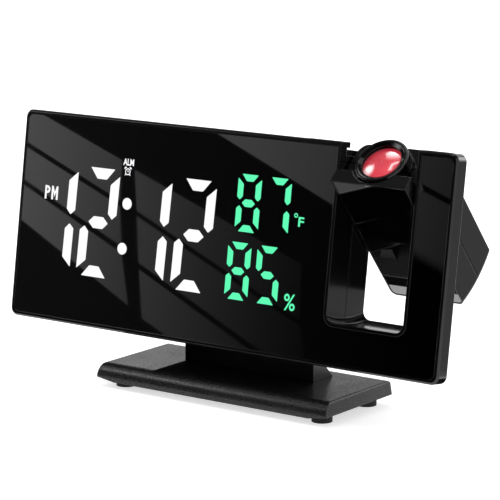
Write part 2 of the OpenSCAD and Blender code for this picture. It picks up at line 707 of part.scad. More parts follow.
module rear_cover() color(satin) panel_space() difference() {
    union() {
        difference() {
            union() {
                housing_block(0, housing_depth);
                stand_pod();
            }
            housing_block(housing_wall, back_in);
            window_space(0);
        }
        intersection() {
            window_lining(window_seam + 0.05, housing_depth, panel_h - housing_inset);
            housing_block(0, housing_depth);
        }
        for (spot = cover_spots) translate([spot[0], 0, spot[1]])
            depth_rod(post_back + 0.05, housing_depth - 1, M3[0] + 1.4);
        translate([cell_u, 0, cell_v]) depth_rod(cup_floor - 1.2, back_in + eps, cover_r + 1.6 + cup_wall);
        translate([neck_x - tongue_w / 2 - 2.5, 16.6, housing_inset])
            cube([tongue_w + 5, back_in - 16.6, tongue_l + 6]);
        for (i = [0.5, 3.5]) key_spot(i) depth_rod(key_board_front + key_board_t, back_in + eps, 2.2);
    }
    hinge_holes();
    for (spot = cover_spots) translate([spot[0], 0, spot[1]]) {
        depth_rod(housing_depth - recess_d, housing_depth + 1, M3[0] + 0.3);
        depth_rod(post_back - 1, housing_depth, M3[2] + 2 * screw_gap);
    }
    for (i = [0:4]) key_spot(i) slab(back_in - 1, housing_depth + 1)
        round_rect(-key_l / 2 - slide_gap, -key_h / 2 - slide_gap, key_l / 2 + slide_gap, key_h / 2 + slide_gap, 1.3);
    for (i = [0.5, 3.5]) key_spot(i) depth_rod(key_board_front - 1, key_board_front + key_board_t + 5, 0.85);
    translate([cell_u, 0, cell_v]) {
        depth_rod(back_in - 0.6 - slide_gap, housing_depth + 1, cover_r + slide_gap);
        depth_rod(back_in - 0.7 - lug_t - slide_gap, back_in - 0.6, cover_r + 1.4 + slide_gap);
        depth_rod(cup_floor, back_in, cell_r + 0.2);
        for (a = [60, 180, 300]) rotate([0, a, 0])
            translate([cover_r - 2, back_in - 1, -2.4]) cube([3.6, 4, 4.8]);
    }
    for (k = [-2:2]) translate([buzzer_u - 5, back_in - 1, buzzer_v + 2.4 * k - 0.6]) cube([10, 4, 1.2]);
    for (k = [-2:2]) translate([sensor_u - 1.5, back_in - 1, sensor_v + 2.2 * k - 0.5]) cube([3, 4, 1]);
    translate([usb_u - usb_w / 2 - 0.2, back_in - 1, usb_v - usb_h / 2 - 0.2]) cube([usb_w + 0.4, 4, usb_h + 0.4]);
    translate([jack_u, 0, jack_v]) depth_rod(back_in - 1, housing_depth + 1, nose_out + 0.2);
    unpanel() tongue(slide_gap, housing_inset - 3);
    for (x = tongue_spots) translate([x, 0, housing_inset + 6]) tongue_screw_hole();
}

// Leaves panel space for the row's own frame
module unpanel() rotate([panel_tilt, 0, 0]) translate([0, -panel_y, -panel_z]) children();

// Hole for a tongue screw, with its head's recess
module tongue_screw_hole() {
    depth_rod(pod_depth - 3, pod_depth + 1, M3[0] + 0.3);
    depth_rod(pod_depth - 16, pod_depth, M3[2] + screw_gap);
}

module cover_screws() color(steel) panel_space() for (spot = cover_spots)
    translate([spot[0], housing_depth - recess_d + M3[1], spot[1]]) rotate([-90, 0, 0]) screw(M3, cover_screw_l);

// ---- Stand ----

// The neck's upright part, from the plate to the housing's underside, and its tongue
module neck_block(high) translate([neck_x - neck_w / 2, neck_back, plate_top]) cube([neck_w, neck_t, high]);

module tongue(gap, from) intersection() {
    translate([neck_x - tongue_w / 2 - gap, neck_back - gap, plate_top])
        cube([tongue_w + 2 * gap, neck_t + 2 * gap, far]);
    in_panel() translate([-far / 2, 0, from]) cube([far, far / 2, housing_inset + tongue_l + gap - from]);
}

module in_panel() translate([0, panel_y, panel_z]) rotate([-panel_tilt, 0, 0]) children();

module stand_neck() color(satin) row_frame() difference() {
    union() {
        difference() {
            union() {
                neck_block(panel_lift + housing_inset + 4);
                bar(neck_x - neck_w / 2, neck_x + neck_w / 2) polygon([
                    [neck_back + neck_t - eps, plate_top], [neck_back + neck_t + neck_flare, plate_top],
                    [neck_back + neck_t - eps, plate_top + neck_flare]]);
            }
            in_panel() translate([-far / 2, -far / 2, housing_inset - 0.02]) cube([far, far, far]);
        }
        tongue(0, housing_inset - 2);
    }
    for (x = neck_spots) translate([x, neck_back + neck_t / 2, plate_top - 1]) cylinder(r = M3[2] + screw_gap, h = 9);
    in_panel() for (x = tongue_spots) translate([x, 0, housing_inset + 6]) tongue_screw_hole();
}

// Side outline of the plate between two heights, with its round front and back edges
module plate_side(inset, low, high) {
    front = -stand_d / 2 + inset;
    back = stand_d / 2 - inset;
    r = nose_r - inset;
    translate([front + r, low]) square([back - edge_r - front - r, high - low]);
    intersection() {
        translate([front + r, high - r]) circle(r);
        translate([front, low]) square([r, high - low]);
    }
    translate([front, low]) square([r, max(high - r - low, eps)]);
    translate([back - edge_r - eps, low]) square([edge_r + eps, high - edge_r - low]);
    translate([back - edge_r, high - edge_r]) circle(edge_r);
}

// Front outline of the plate, with drafted ends that run into round upper corners
module plate_front() {
    corner = stand_w / 2 - edge_r;
    tangent = [corner + edge_r * cos(end_draft), plate_low + end_drop];
    polygon([
        [-plate_foot, plate_low], [plate_foot, plate_low], tangent, [corner, plate_top],
        [-corner, plate_top], [-tangent[0], tangent[1]]]);
    for (side = [-1, 1]) translate([side * corner, plate_top - edge_r]) circle(edge_r);
}

module stand_plate() color(satin) row_frame() difference() {
    intersection() {
        bar(-plate_foot, plate_foot) plate_side(0, plate_low, plate_top);
        slab(-far, far) plate_front();
    }
    difference() {
        bar(-stand_w / 2 + plate_wall, stand_w / 2 - plate_wall)
            plate_side(plate_wall, plate_low - 1, plate_top - plate_wall);
        for (x = [-34, 34]) translate([x - 0.8, -far / 2, 0]) cube([1.6, far, far]);
        for (spot = bottom_spots) translate([spot[0], spot[1], 0]) cylinder(r = 2.4, h = far);
    }
    for (x = neck_spots) translate([x, neck_back + neck_t / 2, plate_low])
        cylinder(r = M3[2] + 2 * screw_gap, h = far);
    for (spot = bottom_spots) translate([spot[0], spot[1], plate_low - 1])
        cylinder(r = M2[2] + screw_gap, h = plate_t - 0.4);
}

module stand_bottom() color(satin) row_frame() difference() {
    rotate([90, 0, 0]) translate([0, 0, -stand_d / 2]) linear_extrude(stand_d) polygon([
        [-plate_foot, plate_low], [-plate_foot, plate_low - 0.2], [-plate_foot + end_slope, foot_h],
        [plate_foot - end_slope, foot_h], [plate_foot, plate_low - 0.2], [plate_foot, plate_low]]);
    foot_spots() translate([0, 0, foot_h - 1]) cylinder(r = foot_r + pocket_gap, h = 1 + foot_sink);
    for (spot = bottom_spots) translate([spot[0], spot[1], 0]) cylinder(r = M2[2] + 2 * screw_gap, h = far);
}

// The four foot places
module foot_spots() for (x = [-foot_x, foot_x], y = [-stand_d / 2 + foot_front, stand_d / 2 - foot_back])
    translate([x, y, 0]) children();

module stand_feet() color([0.05, 0.05, 0.05]) row_frame() foot_spots() cylinder(r = foot_r, h = foot_h + foot_sink);

module stand_screws() color(steel) row_frame() {
    for (x = neck_spots) translate([x, neck_back + neck_t / 2, plate_top - plate_wall - M3[1]])
        rotate([180, 0, 0]) screw(M3, 9);
}

module tongue_screws() color(steel) panel_space() for (x = tongue_spots)
    translate([x, pod_depth - 3 + M3[1], housing_inset + 6]) rotate([-90, 0, 0]) screw(M3, 9);

// ---- Arm ----

// A box in arm space, given by its width and its edges through and along the arm
module arm_box(width, front, back, low, high)
    translate([-width / 2, front, low]) cube([width, back - front, high - low]);

// The arm's outside, or its inside when drawn in by its walls
module arm_block(wall, face) {
    width = arm_w - 2 * wall;
    intersection() {
        arm_box(width, arm_front + face, arm_back - wall, -far, 0);
        wheel(arm_reach - wall, width, arm_corner - wall);
    }
    intersection() {
        arm_box(width, arm_front + face, arm_back - wall, -eps, deck_up - wall);
        union() {
            wheel(head_round - wall, width, max(head_corner - wall, 0.4));
            arm_box(width, arm_front + face, 0, -eps, deck_up);
        }
    }
}

module arm_outside() difference() {
    union() {
        arm_block(0, 0);
        arm_box(arm_w, arm_front, arm_front + head_lip_t, 0, head_lip);
    }
    collar_room();
}

// Space over the deck for the collar and the ring
module collar_room() translate([0, 0, deck_up]) cylinder(r = collar_r + 0.25, h = far);

// What both shells leave free: the cavity, the lens holder's hole and the hinge pins
module arm_hollows() {
    arm_block(arm_wall, arm_face);
    translate([0, 0, carrier_low - 0.1]) cylinder(r = spigot_r + 0.3, h = far);
    cross_rod(-far / 2, far / 2, pin_r + 0.02);
}

// The arm's mirror, or the pocket for it when grown by a clearance
module mirror_shape(gap, front, back) intersection() {
    arm_box(arm_w - 2 * arm_border + 2 * gap, front, back, -far, head_lip - arm_border + gap);
    union() {
        wheel(arm_reach - arm_border + gap, arm_w - 2 * arm_border + 2 * gap, arm_corner - arm_border + gap);
        arm_box(arm_w, front, back, 0, head_lip);
    }
}

module arm_bosses(front, back) for (spot = arm_screw_spots)
    translate([spot[0], 0, spot[1]]) depth_rod(front, back, 2.1);

module arm_front_shell() color(gloss) arm_space() difference() {
    union() {
        difference() {
            intersection() {
                arm_outside();
                arm_box(far, -far, seam_y, -far, far);
            }
            arm_hollows();
        }
        arm_bosses(arm_front + arm_face - eps, seam_y);
        for (side = [-1, 1]) translate([side * (arm_w / 2 - arm_wall - 1.2) - 1.3, 0, tunnel_low - lamp_board_t - 2.5])
            translate([0, arm_front + arm_face - eps, 0]) cube([2.6, seam_y - arm_front - arm_face, 2.5]);
    }
    mirror_shape(pocket_gap, arm_front - 1, arm_front + 0.1 + arm_mirror_t);
    for (spot = arm_screw_spots) translate([spot[0], 0, spot[1]])
        depth_rod(arm_front + arm_face, seam_y + 1, M2[2] + screw_gap);
}

module arm_rear_shell() color(gloss) arm_space() difference() {
    union() {
        difference() {
            intersection() {
                arm_outside();
                arm_box(far, seam_y + 0.02, far, -far, far);
            }
            arm_hollows();
            difference() {
                arm_box(far, seam_y, seam_y + seam_w, -far, far);
                arm_block(seam_in, 0);
            }
        }
        arm_bosses(seam_y + 0.02, arm_back - 1);
        for (p = [tunnel_low + 3, tunnel_top - 4])
            arm_box(tunnel_half, tunnel_half + 0.02, arm_back - arm_wall + eps, p, p + 1.4);
    }
    for (spot = arm_screw_spots) translate([spot[0], 0, spot[1]]) {
        depth_rod(arm_back - 1.9, arm_back + 1, M2[0] + 0.15);
        depth_rod(seam_y - 1, arm_back, M2[2] + 2 * screw_gap);
    }
}

module arm_mirror() color(mirror_black) arm_space() difference() {
    mirror_shape(0, arm_front + 0.1, arm_front + 0.1 + arm_mirror_t - eps);
    collar_room();
}

module arm_screws() color(steel) arm_space() for (spot = arm_screw_spots)
    translate([spot[0], arm_back - 1.9 + M2[1], spot[1]]) rotate([-90, 0, 0]) screw(M2, 14);

// ---- Hinge ----

clip_place = window_w / 2 + lining_wall + 0.1;
groove_r = pin_r - 0.4;

// A hollow pin on the right side: its flange sits inside the arm, its end beyond the lining
module hinge_pin() difference() {
    union() {
        cross_rod(arm_w / 2 - arm_wall - flange_t, window_w / 2 + lining_wall + pin_out, pin_r);
        cross_rod(arm_w / 2 - arm_wall - flange_t, arm_w / 2 - arm_wall - 0.02, flange_r);
    }
    cross_rod(0, far / 2, pin_bore);
    difference() {
        cross_rod(clip_place - 0.05, clip_place + clip_t + 0.05, pin_r + 1);
        cross_rod(0, far / 2, groove_r);
    }
}

module hinge_pin_left() color(steel) arm_space() mirror([1, 0, 0]) hinge_pin();
module hinge_pin_right() color(steel) arm_space() hinge_pin();

module hinge_clips() color(steel) arm_space() for (side = [0, 1]) mirror([side, 0, 0]) difference() {
    cross_rod(clip_place, clip_place + clip_t, pin_r + 1.5);
    cross_rod(0, far / 2, groove_r + 0.05);
    translate([0, -1.6, 0]) cube([far, 3.2, far]);
}

module hinge_washers() color([0.8, 0.78, 0.7]) arm_space() for (side = [0, 1]) mirror([side, 0, 0]) difference() {
    cross_rod(arm_w / 2 + 0.02, arm_w / 2 + 0.02 + washer_t, washer_r);
    cross_rod(0, far / 2, pin_r + 0.1);
}

module arm_cable() color([0.2, 0.2, 0.22]) arm_space()
    cross_rod(-window_w / 2 - lining_wall - pin_out - 1, -spigot_r - 1.5, pin_bore - 0.05);

// ---- Projector ----

module lens_holder() color(gloss) arm_space() difference() {
    union() {
        translate([0, 0, carrier_low]) cylinder(r = spigot_r + 0.25, h = deck_up - carrier_low + eps);
        translate([0, 0, deck_up + 0.02]) cylinder(r = collar_r, h = collar_t - 0.02);
        translate([0, 0, deck_up]) cylinder(r = spigot_r, h = ring_top - ring_lip - 0.1 - deck_up);
    }
    translate([0, 0, carrier_low - 1]) cylinder(r = carrier_r + run_fit, h = far);
}

module focus_ring() color(gloss) arm_space() rotate_extrude() polygon([
    [spigot_r + run_fit, ring_low], [ring_r, ring_low], [ring_r, ring_top - 0.5], [ring_r - 0.5, ring_top],
    [lens_r + 1.2, ring_top], [lens_r - ring_over, ring_top - 0.7], [lens_r - ring_over, ring_top - ring_lip],
    [spigot_r + run_fit, ring_top - ring_lip]]);

module lens_carrier() color(gloss) arm_space() difference() {
    translate([0, 0, carrier_low + focus_travel])
        cylinder(r = carrier_r, h = carrier_top - carrier_low - focus_travel);
    translate([0, 0, carrier_low - 1]) cylinder(r = lens_r - 0.7, h = far);
    translate([0, 0, lens_seat]) cylinder(r = lens_r + 0.02, h = far);
}

// Radius of a dome with a given rise over the lens
function dome_r(rise) = (lens_r * lens_r + rise * rise) / (2 * rise);

module projection_lens() color([0.95, 0.25, 0.35, 0.8]) arm_space() translate([0, 0, lens_seat + 0.02]) {
    cylinder(r = lens_r, h = lens_edge);
    intersection() {
        translate([0, 0, lens_edge + lens_rise - dome_r(lens_rise)]) sphere(r = dome_r(lens_rise), $fn = 120);
        translate([0, 0, lens_edge - eps]) cylinder(r = lens_r, h = lens_rise + 1);
    }
}

module light_tunnel() color(gloss) arm_space() difference() {
    arm_box(2 * tunnel_half, -tunnel_half + 0.02, tunnel_half, tunnel_low, tunnel_top);
    arm_box(2 * (tunnel_half - tunnel_wall), tunnel_wall - tunnel_half, tunnel_half - tunnel_wall,
        tunnel_low - 1, tunnel_top + 1);
}

module image_screen() color([0.3, 0.35, 0.4]) arm_space()
    arm_box(2 * tunnel_half, -tunnel_half + 0.02, tunnel_half, tunnel_top + 0.02, tunnel_top + screen_t);

module condenser_lens() color([0.85, 0.9, 0.95, 0.6]) arm_space()
    translate([0, 0, (tunnel_low + tunnel_top) / 2]) cylinder(r = tunnel_half - tunnel_wall, h = 3);

module projector_board() color(green_board) arm_space()
    arm_box(arm_w - 2 * arm_wall - 1, -tunnel_half + 0.02, tunnel_half, tunnel_low - lamp_board_t, tunnel_low - 0.02);

module projector_lamp() color([1, 0.3, 0.3]) arm_space() translate([0, 0, tunnel_low]) {
    translate([-2.5, -2.5, 0]) cube([5, 5, 1.2]);
    cylinder(r = 2.2, h = 2.6);
    translate([0, 0, 2.6]) sphere(r = 2.2);
}

front_frame();
mirror_panel();
digit_reflector();
time_segments();
climate_segments();
status_windows();
display_leds();
display_board();
board_chips();
board_screws();
buzzer();
usb_socket();
power_jack();
climate_sensor();
key_board();
key_switches();
rear_cover();
cover_screws();
coin_cell();
battery_spring();
battery_cover();
key_mode();
key_up();
key_down();
key_alarm();
key_snooze();
stand_neck();
stand_plate();
stand_bottom();
stand_feet();
stand_screws();
tongue_screws();
arm_front_shell();
arm_rear_shell();
arm_mirror();
arm_screws();
hinge_pin_left();
hinge_pin_right();
hinge_clips();
hinge_washers();
arm_cable();
lens_holder();
focus_ring();
lens_carrier();
projection_lens();
light_tunnel();
image_screen();
condenser_lens();
projector_lamp();
projector_board();
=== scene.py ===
import json
import math
import bpy
import numpy as np
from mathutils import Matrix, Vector


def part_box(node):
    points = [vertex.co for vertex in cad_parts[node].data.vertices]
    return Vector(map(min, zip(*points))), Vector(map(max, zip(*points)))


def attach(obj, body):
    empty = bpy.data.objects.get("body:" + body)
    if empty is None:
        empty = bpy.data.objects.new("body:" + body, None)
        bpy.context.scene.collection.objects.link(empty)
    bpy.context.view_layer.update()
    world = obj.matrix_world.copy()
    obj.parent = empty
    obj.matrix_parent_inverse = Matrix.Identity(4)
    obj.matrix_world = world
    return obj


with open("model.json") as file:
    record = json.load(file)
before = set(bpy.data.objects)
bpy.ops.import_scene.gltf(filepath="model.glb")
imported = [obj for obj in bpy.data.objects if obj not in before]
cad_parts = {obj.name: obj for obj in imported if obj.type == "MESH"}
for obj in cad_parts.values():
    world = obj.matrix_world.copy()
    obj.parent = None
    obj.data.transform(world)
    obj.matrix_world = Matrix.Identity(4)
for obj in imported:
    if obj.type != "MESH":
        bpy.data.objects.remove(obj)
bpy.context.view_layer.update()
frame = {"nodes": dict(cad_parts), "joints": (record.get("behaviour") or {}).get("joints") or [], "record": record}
joints = {j["name"]: j for j in frame["joints"]}
print("frame loaded:", len(frame["nodes"]), "nodes")

mm = 0.001

# panel space: u across, w into the depth, v up the slope, in millimetres
panel = {
    "tilt": 8.5,            # lean from upright, degrees
    "mirrorRecess": 0.2,    # the mirror's face lies this far behind the bezel
    "sheet": 0.015,         # the lit shapes lie on the mirror's face as a sheet this thick
    "pivotUp": 64.6,        # hinge above the lower front edge
    "pivotIn": 11.0,        # hinge behind the front face
    "sweep": 50.7,          # just past the trough's radius about the hinge
    "windowHalf": 15.85,    # just past half the window's width
    "windowSeam": 11.7,     # depth of the seam between frame and housing inside the window
}
lean = math.radians(panel["tilt"])
pivot = np.array(joints["arm_tilt"]["pos_m"]) / mm
panelY = pivot[1] - panel["pivotUp"] * math.sin(lean) - panel["pivotIn"] * math.cos(lean)
panelZ = pivot[2] - panel["pivotUp"] * math.cos(lean) + panel["pivotIn"] * math.sin(lean)


def panelToRow(points):
    # turns (u, w, v) about the X axis by the tilt and moves it to the panel's lower front edge
    p = np.asarray(points, float).reshape(-1, 3)
    y = panelY + p[:, 1] * math.cos(lean) + p[:, 2] * math.sin(lean)
    z = panelZ - p[:, 1] * math.sin(lean) + p[:, 2] * math.cos(lean)
    return np.stack([p[:, 0], y, z], 1) * mm


def hexColour(code):
    # sRGB hex to linear: c / 12.92 below 0.04045, ((c + 0.055) / 1.055) ** 2.4 above
    parts = [int(code[i:i + 2], 16) / 255 for i in (1, 3, 5)]
    return [c / 12.92 if c <= 0.04045 else ((c + 0.055) / 1.055) ** 2.4 for c in parts] + [1.0]


def addNode(tree, kind, settings=None, links=None):
    # one node: settings go to its properties or sockets, links join its inputs to other nodes' outputs
    node = tree.nodes.new(kind)
    for key, value in (settings or {}).items():
        if isinstance(key, str) and hasattr(node, key):
            setattr(node, key, value)
        else:
            node.inputs[key].default_value = value
    for key, source in (links or {}).items():
        tree.links.new(source, node.inputs[key])
    return node


def newMaterial(name):
    # a material, its empty node tree, and the object coordinates that its patterns read
    material = bpy.data.materials.new(name)
    material.use_nodes = True
    tree = material.node_tree
    tree.nodes.clear()
    return material, tree, addNode(tree, "ShaderNodeTexCoord").outputs["Object"]


def surfaced(material, shader):
    # the material, with the shader on its output
    addNode(material.node_tree, "ShaderNodeOutputMaterial", {}, {"Surface": shader.outputs[0]})
    return material


def addObject(name, data):
    # a new object of the scene, unturned and unscaled at the origin
    thing = bpy.data.objects.new(name, data)
    bpy.context.scene.collection.objects.link(thing)
    return thing


def newMesh(name, points, faces):
    mesh = bpy.data.meshes.new(name)
    mesh.from_pydata(np.asarray(points, float).tolist(), [], faces)
    mesh.update()
    return mesh


def rectangle(low, high):
    # corners, anticlockwise from the lower left
    return [(low[0], low[1]), (high[0], low[1]), (high[0], high[1]), (low[0], high[1])]


# the camera stands to the right and a little above, with a long lens
view = {
    "place": (0.51558, -0.71306, 0.22377),
    "lens": 177.5,
    "sensor": 36.0,
    "near": 0.01,           # nothing closer than this is drawn
    "down": 0.19250,        # radians below the horizon
    "turn": 0.62993,        # radians round from looking along +Y
}
cameraData = bpy.data.cameras.new("productCamera")
cameraData.lens = view["lens"]
cameraData.sensor_width = view["sensor"]
cameraData.clip_start = view["near"]
camera = addObject("productCamera", cameraData)
camera.location = view["place"]
camera.rotation_euler = (math.pi / 2 - view["down"], 0, view["turn"])
bpy.context.scene.camera = camera
print("camera set")

# depth into the housing: the dot product of a place with this direction, less the seam's value
intoHousing = (0, math.cos(lean), -math.sin(lean))
seamDepth = (panelY * math.cos(lean) - panelZ * math.sin(lean) + panel["windowSeam"]) * mm


moulding = {
    "gloss": 14.0,              # size of the patches in which the gloss varies, mm
    "seamKeep": (0.5, 0.7),     # edges stay sharp this near the window's seam, and are round beyond it, mm
}


def plastic(name, code, roughness, grain, rise,
            ior=1.5, spread=0.04, edgeRound=0.12, glint=0.0, seamFlush=False):
    # moulded plastic: its grain has a size and a height in mm, and varies the gloss by the glint
    material, tree, place = newMaterial(name)
    fine = addNode(tree, "ShaderNodeTexNoise",
                   {"Scale": 1 / (grain * mm), "Detail": 3.0, "Roughness": 0.6}, {"Vector": place})
    broad = addNode(tree, "ShaderNodeTexNoise",
                    {"Scale": 1 / (moulding["gloss"] * mm), "Detail": 2.0}, {"Vector": place})
    gloss = addNode(tree, "ShaderNodeMapRange", {
        "From Min": 0.3, "From Max": 0.7, "To Min": roughness - spread, "To Max": roughness + spread},
        {"Value": broad.outputs["Fac"]})
    sparkle = addNode(tree, "ShaderNodeMapRange", {
        "From Min": 0.35, "From Max": 0.65, "To Min": -glint, "To Max": glint},
        {"Value": fine.outputs["Fac"]})
    rough = addNode(tree, "ShaderNodeMath", {"operation": "ADD"},
                    {0: gloss.outputs["Result"], 1: sparkle.outputs["Result"]})
    edge = addNode(tree, "ShaderNodeBevel", {"samples": 6, "Radius": edgeRound * mm})
    if seamFlush:
        sharp, rounded = moulding["seamKeep"]
        inward = addNode(tree, "ShaderNodeVectorMath", {"operation": "DOT_PRODUCT", 1: intoHousing},
                         {0: place})
        away = addNode(tree, "ShaderNodeMath", {"operation": "SUBTRACT", 1: seamDepth},
                       {0: inward.outputs["Value"]})
        apart = addNode(tree, "ShaderNodeMath", {"operation": "ABSOLUTE"}, {0: away.outputs[0]})
        radius = addNode(tree, "ShaderNodeMapRange", {
            "From Min": sharp * mm, "From Max": rounded * mm, "To Max": edgeRound * mm},
            {"Value": apart.outputs[0]})
        tree.links.new(radius.outputs["Result"], edge.inputs["Radius"])
    bump = addNode(tree, "ShaderNodeBump", {"Strength": 1.0, "Distance": rise * mm},
                   {"Height": fine.outputs["Fac"], "Normal": edge.outputs["Normal"]})
    return surfaced(material, addNode(tree, "ShaderNodeBsdfPrincipled", {
        "Base Color": hexColour(code), "IOR": ior},
        {"Roughness": rough.outputs[0], "Normal": bump.outputs["Normal"]}))


housing = {
    "colour": "#0F0F11",
    "grain": 0.35, "rise": 0.02,        # size and height of the grain, mm
    "matt": 0.38, "polished": 0.13,     # roughness of the two finishes
    "polishedGrain": 0.05,      # share of the grain's height that is left where it is polished
    "groove": (0.05, 0.35),     # the groove along the window's seam: floor and edge past the seam, mm
    "grooveDepth": 8.0,         # its depth in heights of the grain
    "edgeRound": 0.3,
}


def housingPlastic():
    # fine-grained ABS back shell: matt outside, polished where it lines the window and the arm's trough
    material, tree, place = newMaterial("grainedAbs")
    arm = addNode(tree, "ShaderNodeVectorMath", {"operation": "SUBTRACT", 1: tuple(pivot * mm)}, {0: place})
    aroundPin = addNode(tree, "ShaderNodeVectorMath", {"operation": "MULTIPLY", 1: (0, 1, 1)},
                        {0: arm.outputs[0]})
    reach = addNode(tree, "ShaderNodeVectorMath", {"operation": "LENGTH"}, {0: aroundPin.outputs[0]})
    inReach = addNode(tree, "ShaderNodeMath", {"operation": "LESS_THAN", 1: panel["sweep"] * mm},
                      {0: reach.outputs["Value"]})
    split = addNode(tree, "ShaderNodeSeparateXYZ", {}, {0: arm.outputs[0]})
    aside = addNode(tree, "ShaderNodeMath", {"operation": "ABSOLUTE"}, {0: split.outputs["X"]})
    between = addNode(tree, "ShaderNodeMath", {"operation": "LESS_THAN", 1: panel["windowHalf"] * mm},
                      {0: aside.outputs[0]})
    polished = addNode(tree, "ShaderNodeMath", {"operation": "MULTIPLY"},
                       {0: inReach.outputs[0], 1: between.outputs[0]})
    fine = addNode(tree, "ShaderNodeTexNoise",
                   {"Scale": 1 / (housing["grain"] * mm), "Detail": 3.0, "Roughness": 0.6}, {"Vector": place})
    gloss = addNode(tree, "ShaderNodeMapRange", {"To Min": housing["matt"], "To Max": housing["polished"]},
                    {"Value": polished.outputs[0]})
    grain = addNode(tree, "ShaderNodeMapRange", {"To Min": 1.0, "To Max": housing["polishedGrain"]},
                    {"Value": polished.outputs[0]})
    inward = addNode(tree, "ShaderNodeVectorMath", {"operation": "DOT_PRODUCT", 1: intoHousing}, {0: place})
    start, end = housing["groove"]
    groove = addNode(tree, "ShaderNodeMapRange", {
        "From Min": seamDepth + start * mm, "From Max": seamDepth + end * mm,
        "To Min": -housing["grooveDepth"], "To Max": 0.0}, {"Value": inward.outputs["Value"]})
    raised = addNode(tree, "ShaderNodeMath", {"operation": "MULTIPLY_ADD"}, {
        0: fine.outputs["Fac"], 1: grain.outputs["Result"], 2: groove.outputs["Result"]})
    edge = addNode(tree, "ShaderNodeBevel", {"samples": 6, "Radius": housing["edgeRound"] * mm})
    bump = addNode(tree, "ShaderNodeBump", {"Strength": 1.0, "Distance": housing["rise"] * mm},
                   {"Height": raised.outputs[0], "Normal": edge.outputs["Normal"]})
    return surfaced(material, addNode(tree, "ShaderNodeBsdfPrincipled", {
        "Base Color": hexColour(housing["colour"]), "IOR": 1.5},
        {"Roughness": gloss.outputs["Result"], "Normal": bump.outputs["Normal"]}))


rubbing = {
    "finer": 8.0,                       # the marks are this many times finer along Y
    "smoother": 0.08, "rougher": 0.1,   # how far they take the roughness down and up
    "depth": 0.01,                      # mm
}


def metal(name, code, roughness, grain):
    # stamped or turned steel: drawn-out noise of the given grain in mm makes its rubbing marks
    material, tree, place = newMaterial(name)
    turn = addNode(tree, "ShaderNodeMapping", {"Scale": (1.0, rubbing["finer"], 1.0)}, {"Vector": place})
    rubs = addNode(tree, "ShaderNodeTexNoise", {"Scale": 1 / (grain * mm), "Detail": 4.0},
                   {"Vector": turn.outputs[0]})
    gloss = addNode(tree, "ShaderNodeMapRange", {
        "To Min": roughness - rubbing["smoother"], "To Max": roughness + rubbing["rougher"]},
        {"Value": rubs.outputs["Fac"]})
    bump = addNode(tree, "ShaderNodeBump", {"Strength": 0.6, "Distance": rubbing["depth"] * mm},
                   {"Height": rubs.outputs["Fac"]})
    return surfaced(material, addNode(tree, "ShaderNodeBsdfPrincipled", {
        "Base Color": hexColour(code), "Metallic": 1.0},
        {"Roughness": gloss.outputs["Result"], "Normal": bump.outputs["Normal"]}))


mirror = {
    "colour": "#020203",
    "smear": 22.0, "blur": 0.035,       # size of the smears in mm, and the most that they roughen it
    "ior": 3.0,                         # mirrors a quarter of what stands before it
}


def acrylicMirror():
    # half-silvered acrylic sheet: a black body under a thin coat with smears that blur it a little
    material, tree, place = newMaterial("halfSilveredAcrylic")
    smear = addNode(tree, "ShaderNodeTexNoise", {"Scale": 1 / (mirror["smear"] * mm), "Detail": 4.0},
                    {"Vector": place})
    gloss = addNode(tree, "ShaderNodeMapRange", {"To Min": 0.0, "To Max": mirror["blur"]},
                    {"Value": smear.outputs["Fac"]})
    return surfaced(material, addNode(tree, "ShaderNodeBsdfPrincipled", {
        "Base Color": hexColour(mirror["colour"]), "IOR": mirror["ior"]},
        {"Roughness": gloss.outputs["Result"]}))


board = {
    "line": "#1C6B3A", "field": "#0E4A26",
    "fields": 3.2, "rise": 0.03,        # size and height of the copper fields, mm
    "border": (0.08, 0.12),             # edges of the bare lines between them, in sizes of a field
}


def solderMask():
    # glass-fibre board under green lacquer: copper fields and the bare lines between them show through
    material, tree, place = newMaterial("greenSolderMask")
    fields = addNode(tree, "ShaderNodeTexVoronoi", {
        "feature": "DISTANCE_TO_EDGE", "Scale": 1 / (board["fields"] * mm)}, {"Vector": place})
    inner, outer = board["border"]
    copper = addNode(tree, "ShaderNodeMapRange", {"From Min": inner, "From Max": outer},
                     {"Value": fields.outputs["Distance"]})
    tint = addNode(tree, "ShaderNodeMix", {
        "data_type": "RGBA", "A": hexColour(board["line"]), "B": hexColour(board["field"])},
        {"Factor": copper.outputs["Result"]})
    bump = addNode(tree, "ShaderNodeBump", {"Strength": 0.5, "Distance": board["rise"] * mm},
                   {"Height": copper.outputs["Result"]})
    return surfaced(material, addNode(tree, "ShaderNodeBsdfPrincipled", {"Roughness": 0.3}, {
        "Base Color": tint.outputs["Result"], "Normal": bump.outputs["Normal"]}))


lens = {
    "lean": 40.5,           # its axis leans this far forward at rest, degrees
    # the third colour is that of the painted highlight
    "facing": "#EE4A56", "depth": "#7E1026", "paintedHighlight": "#FFDCDC",
    "swirl": 5.0,           # size of the swirls in its tint, mm
    "swirlShare": 0.35,     # how far they take the tint from facing to depth
    "glow": 0.42,           # light that comes up through it from the lamp
    # middle of the painted highlight, a pale crescent that stands in for a soft reflection, from the hinge: to the
    # side, along the arm's face and up the axis, mm
    "side": -3.9, "along": -4.0, "height": 11.4,
    "reach": 3.1, "core": 0.6, "share": 0.75,   # its edge and full part in mm, and how far the painted highlight whitens that part
}


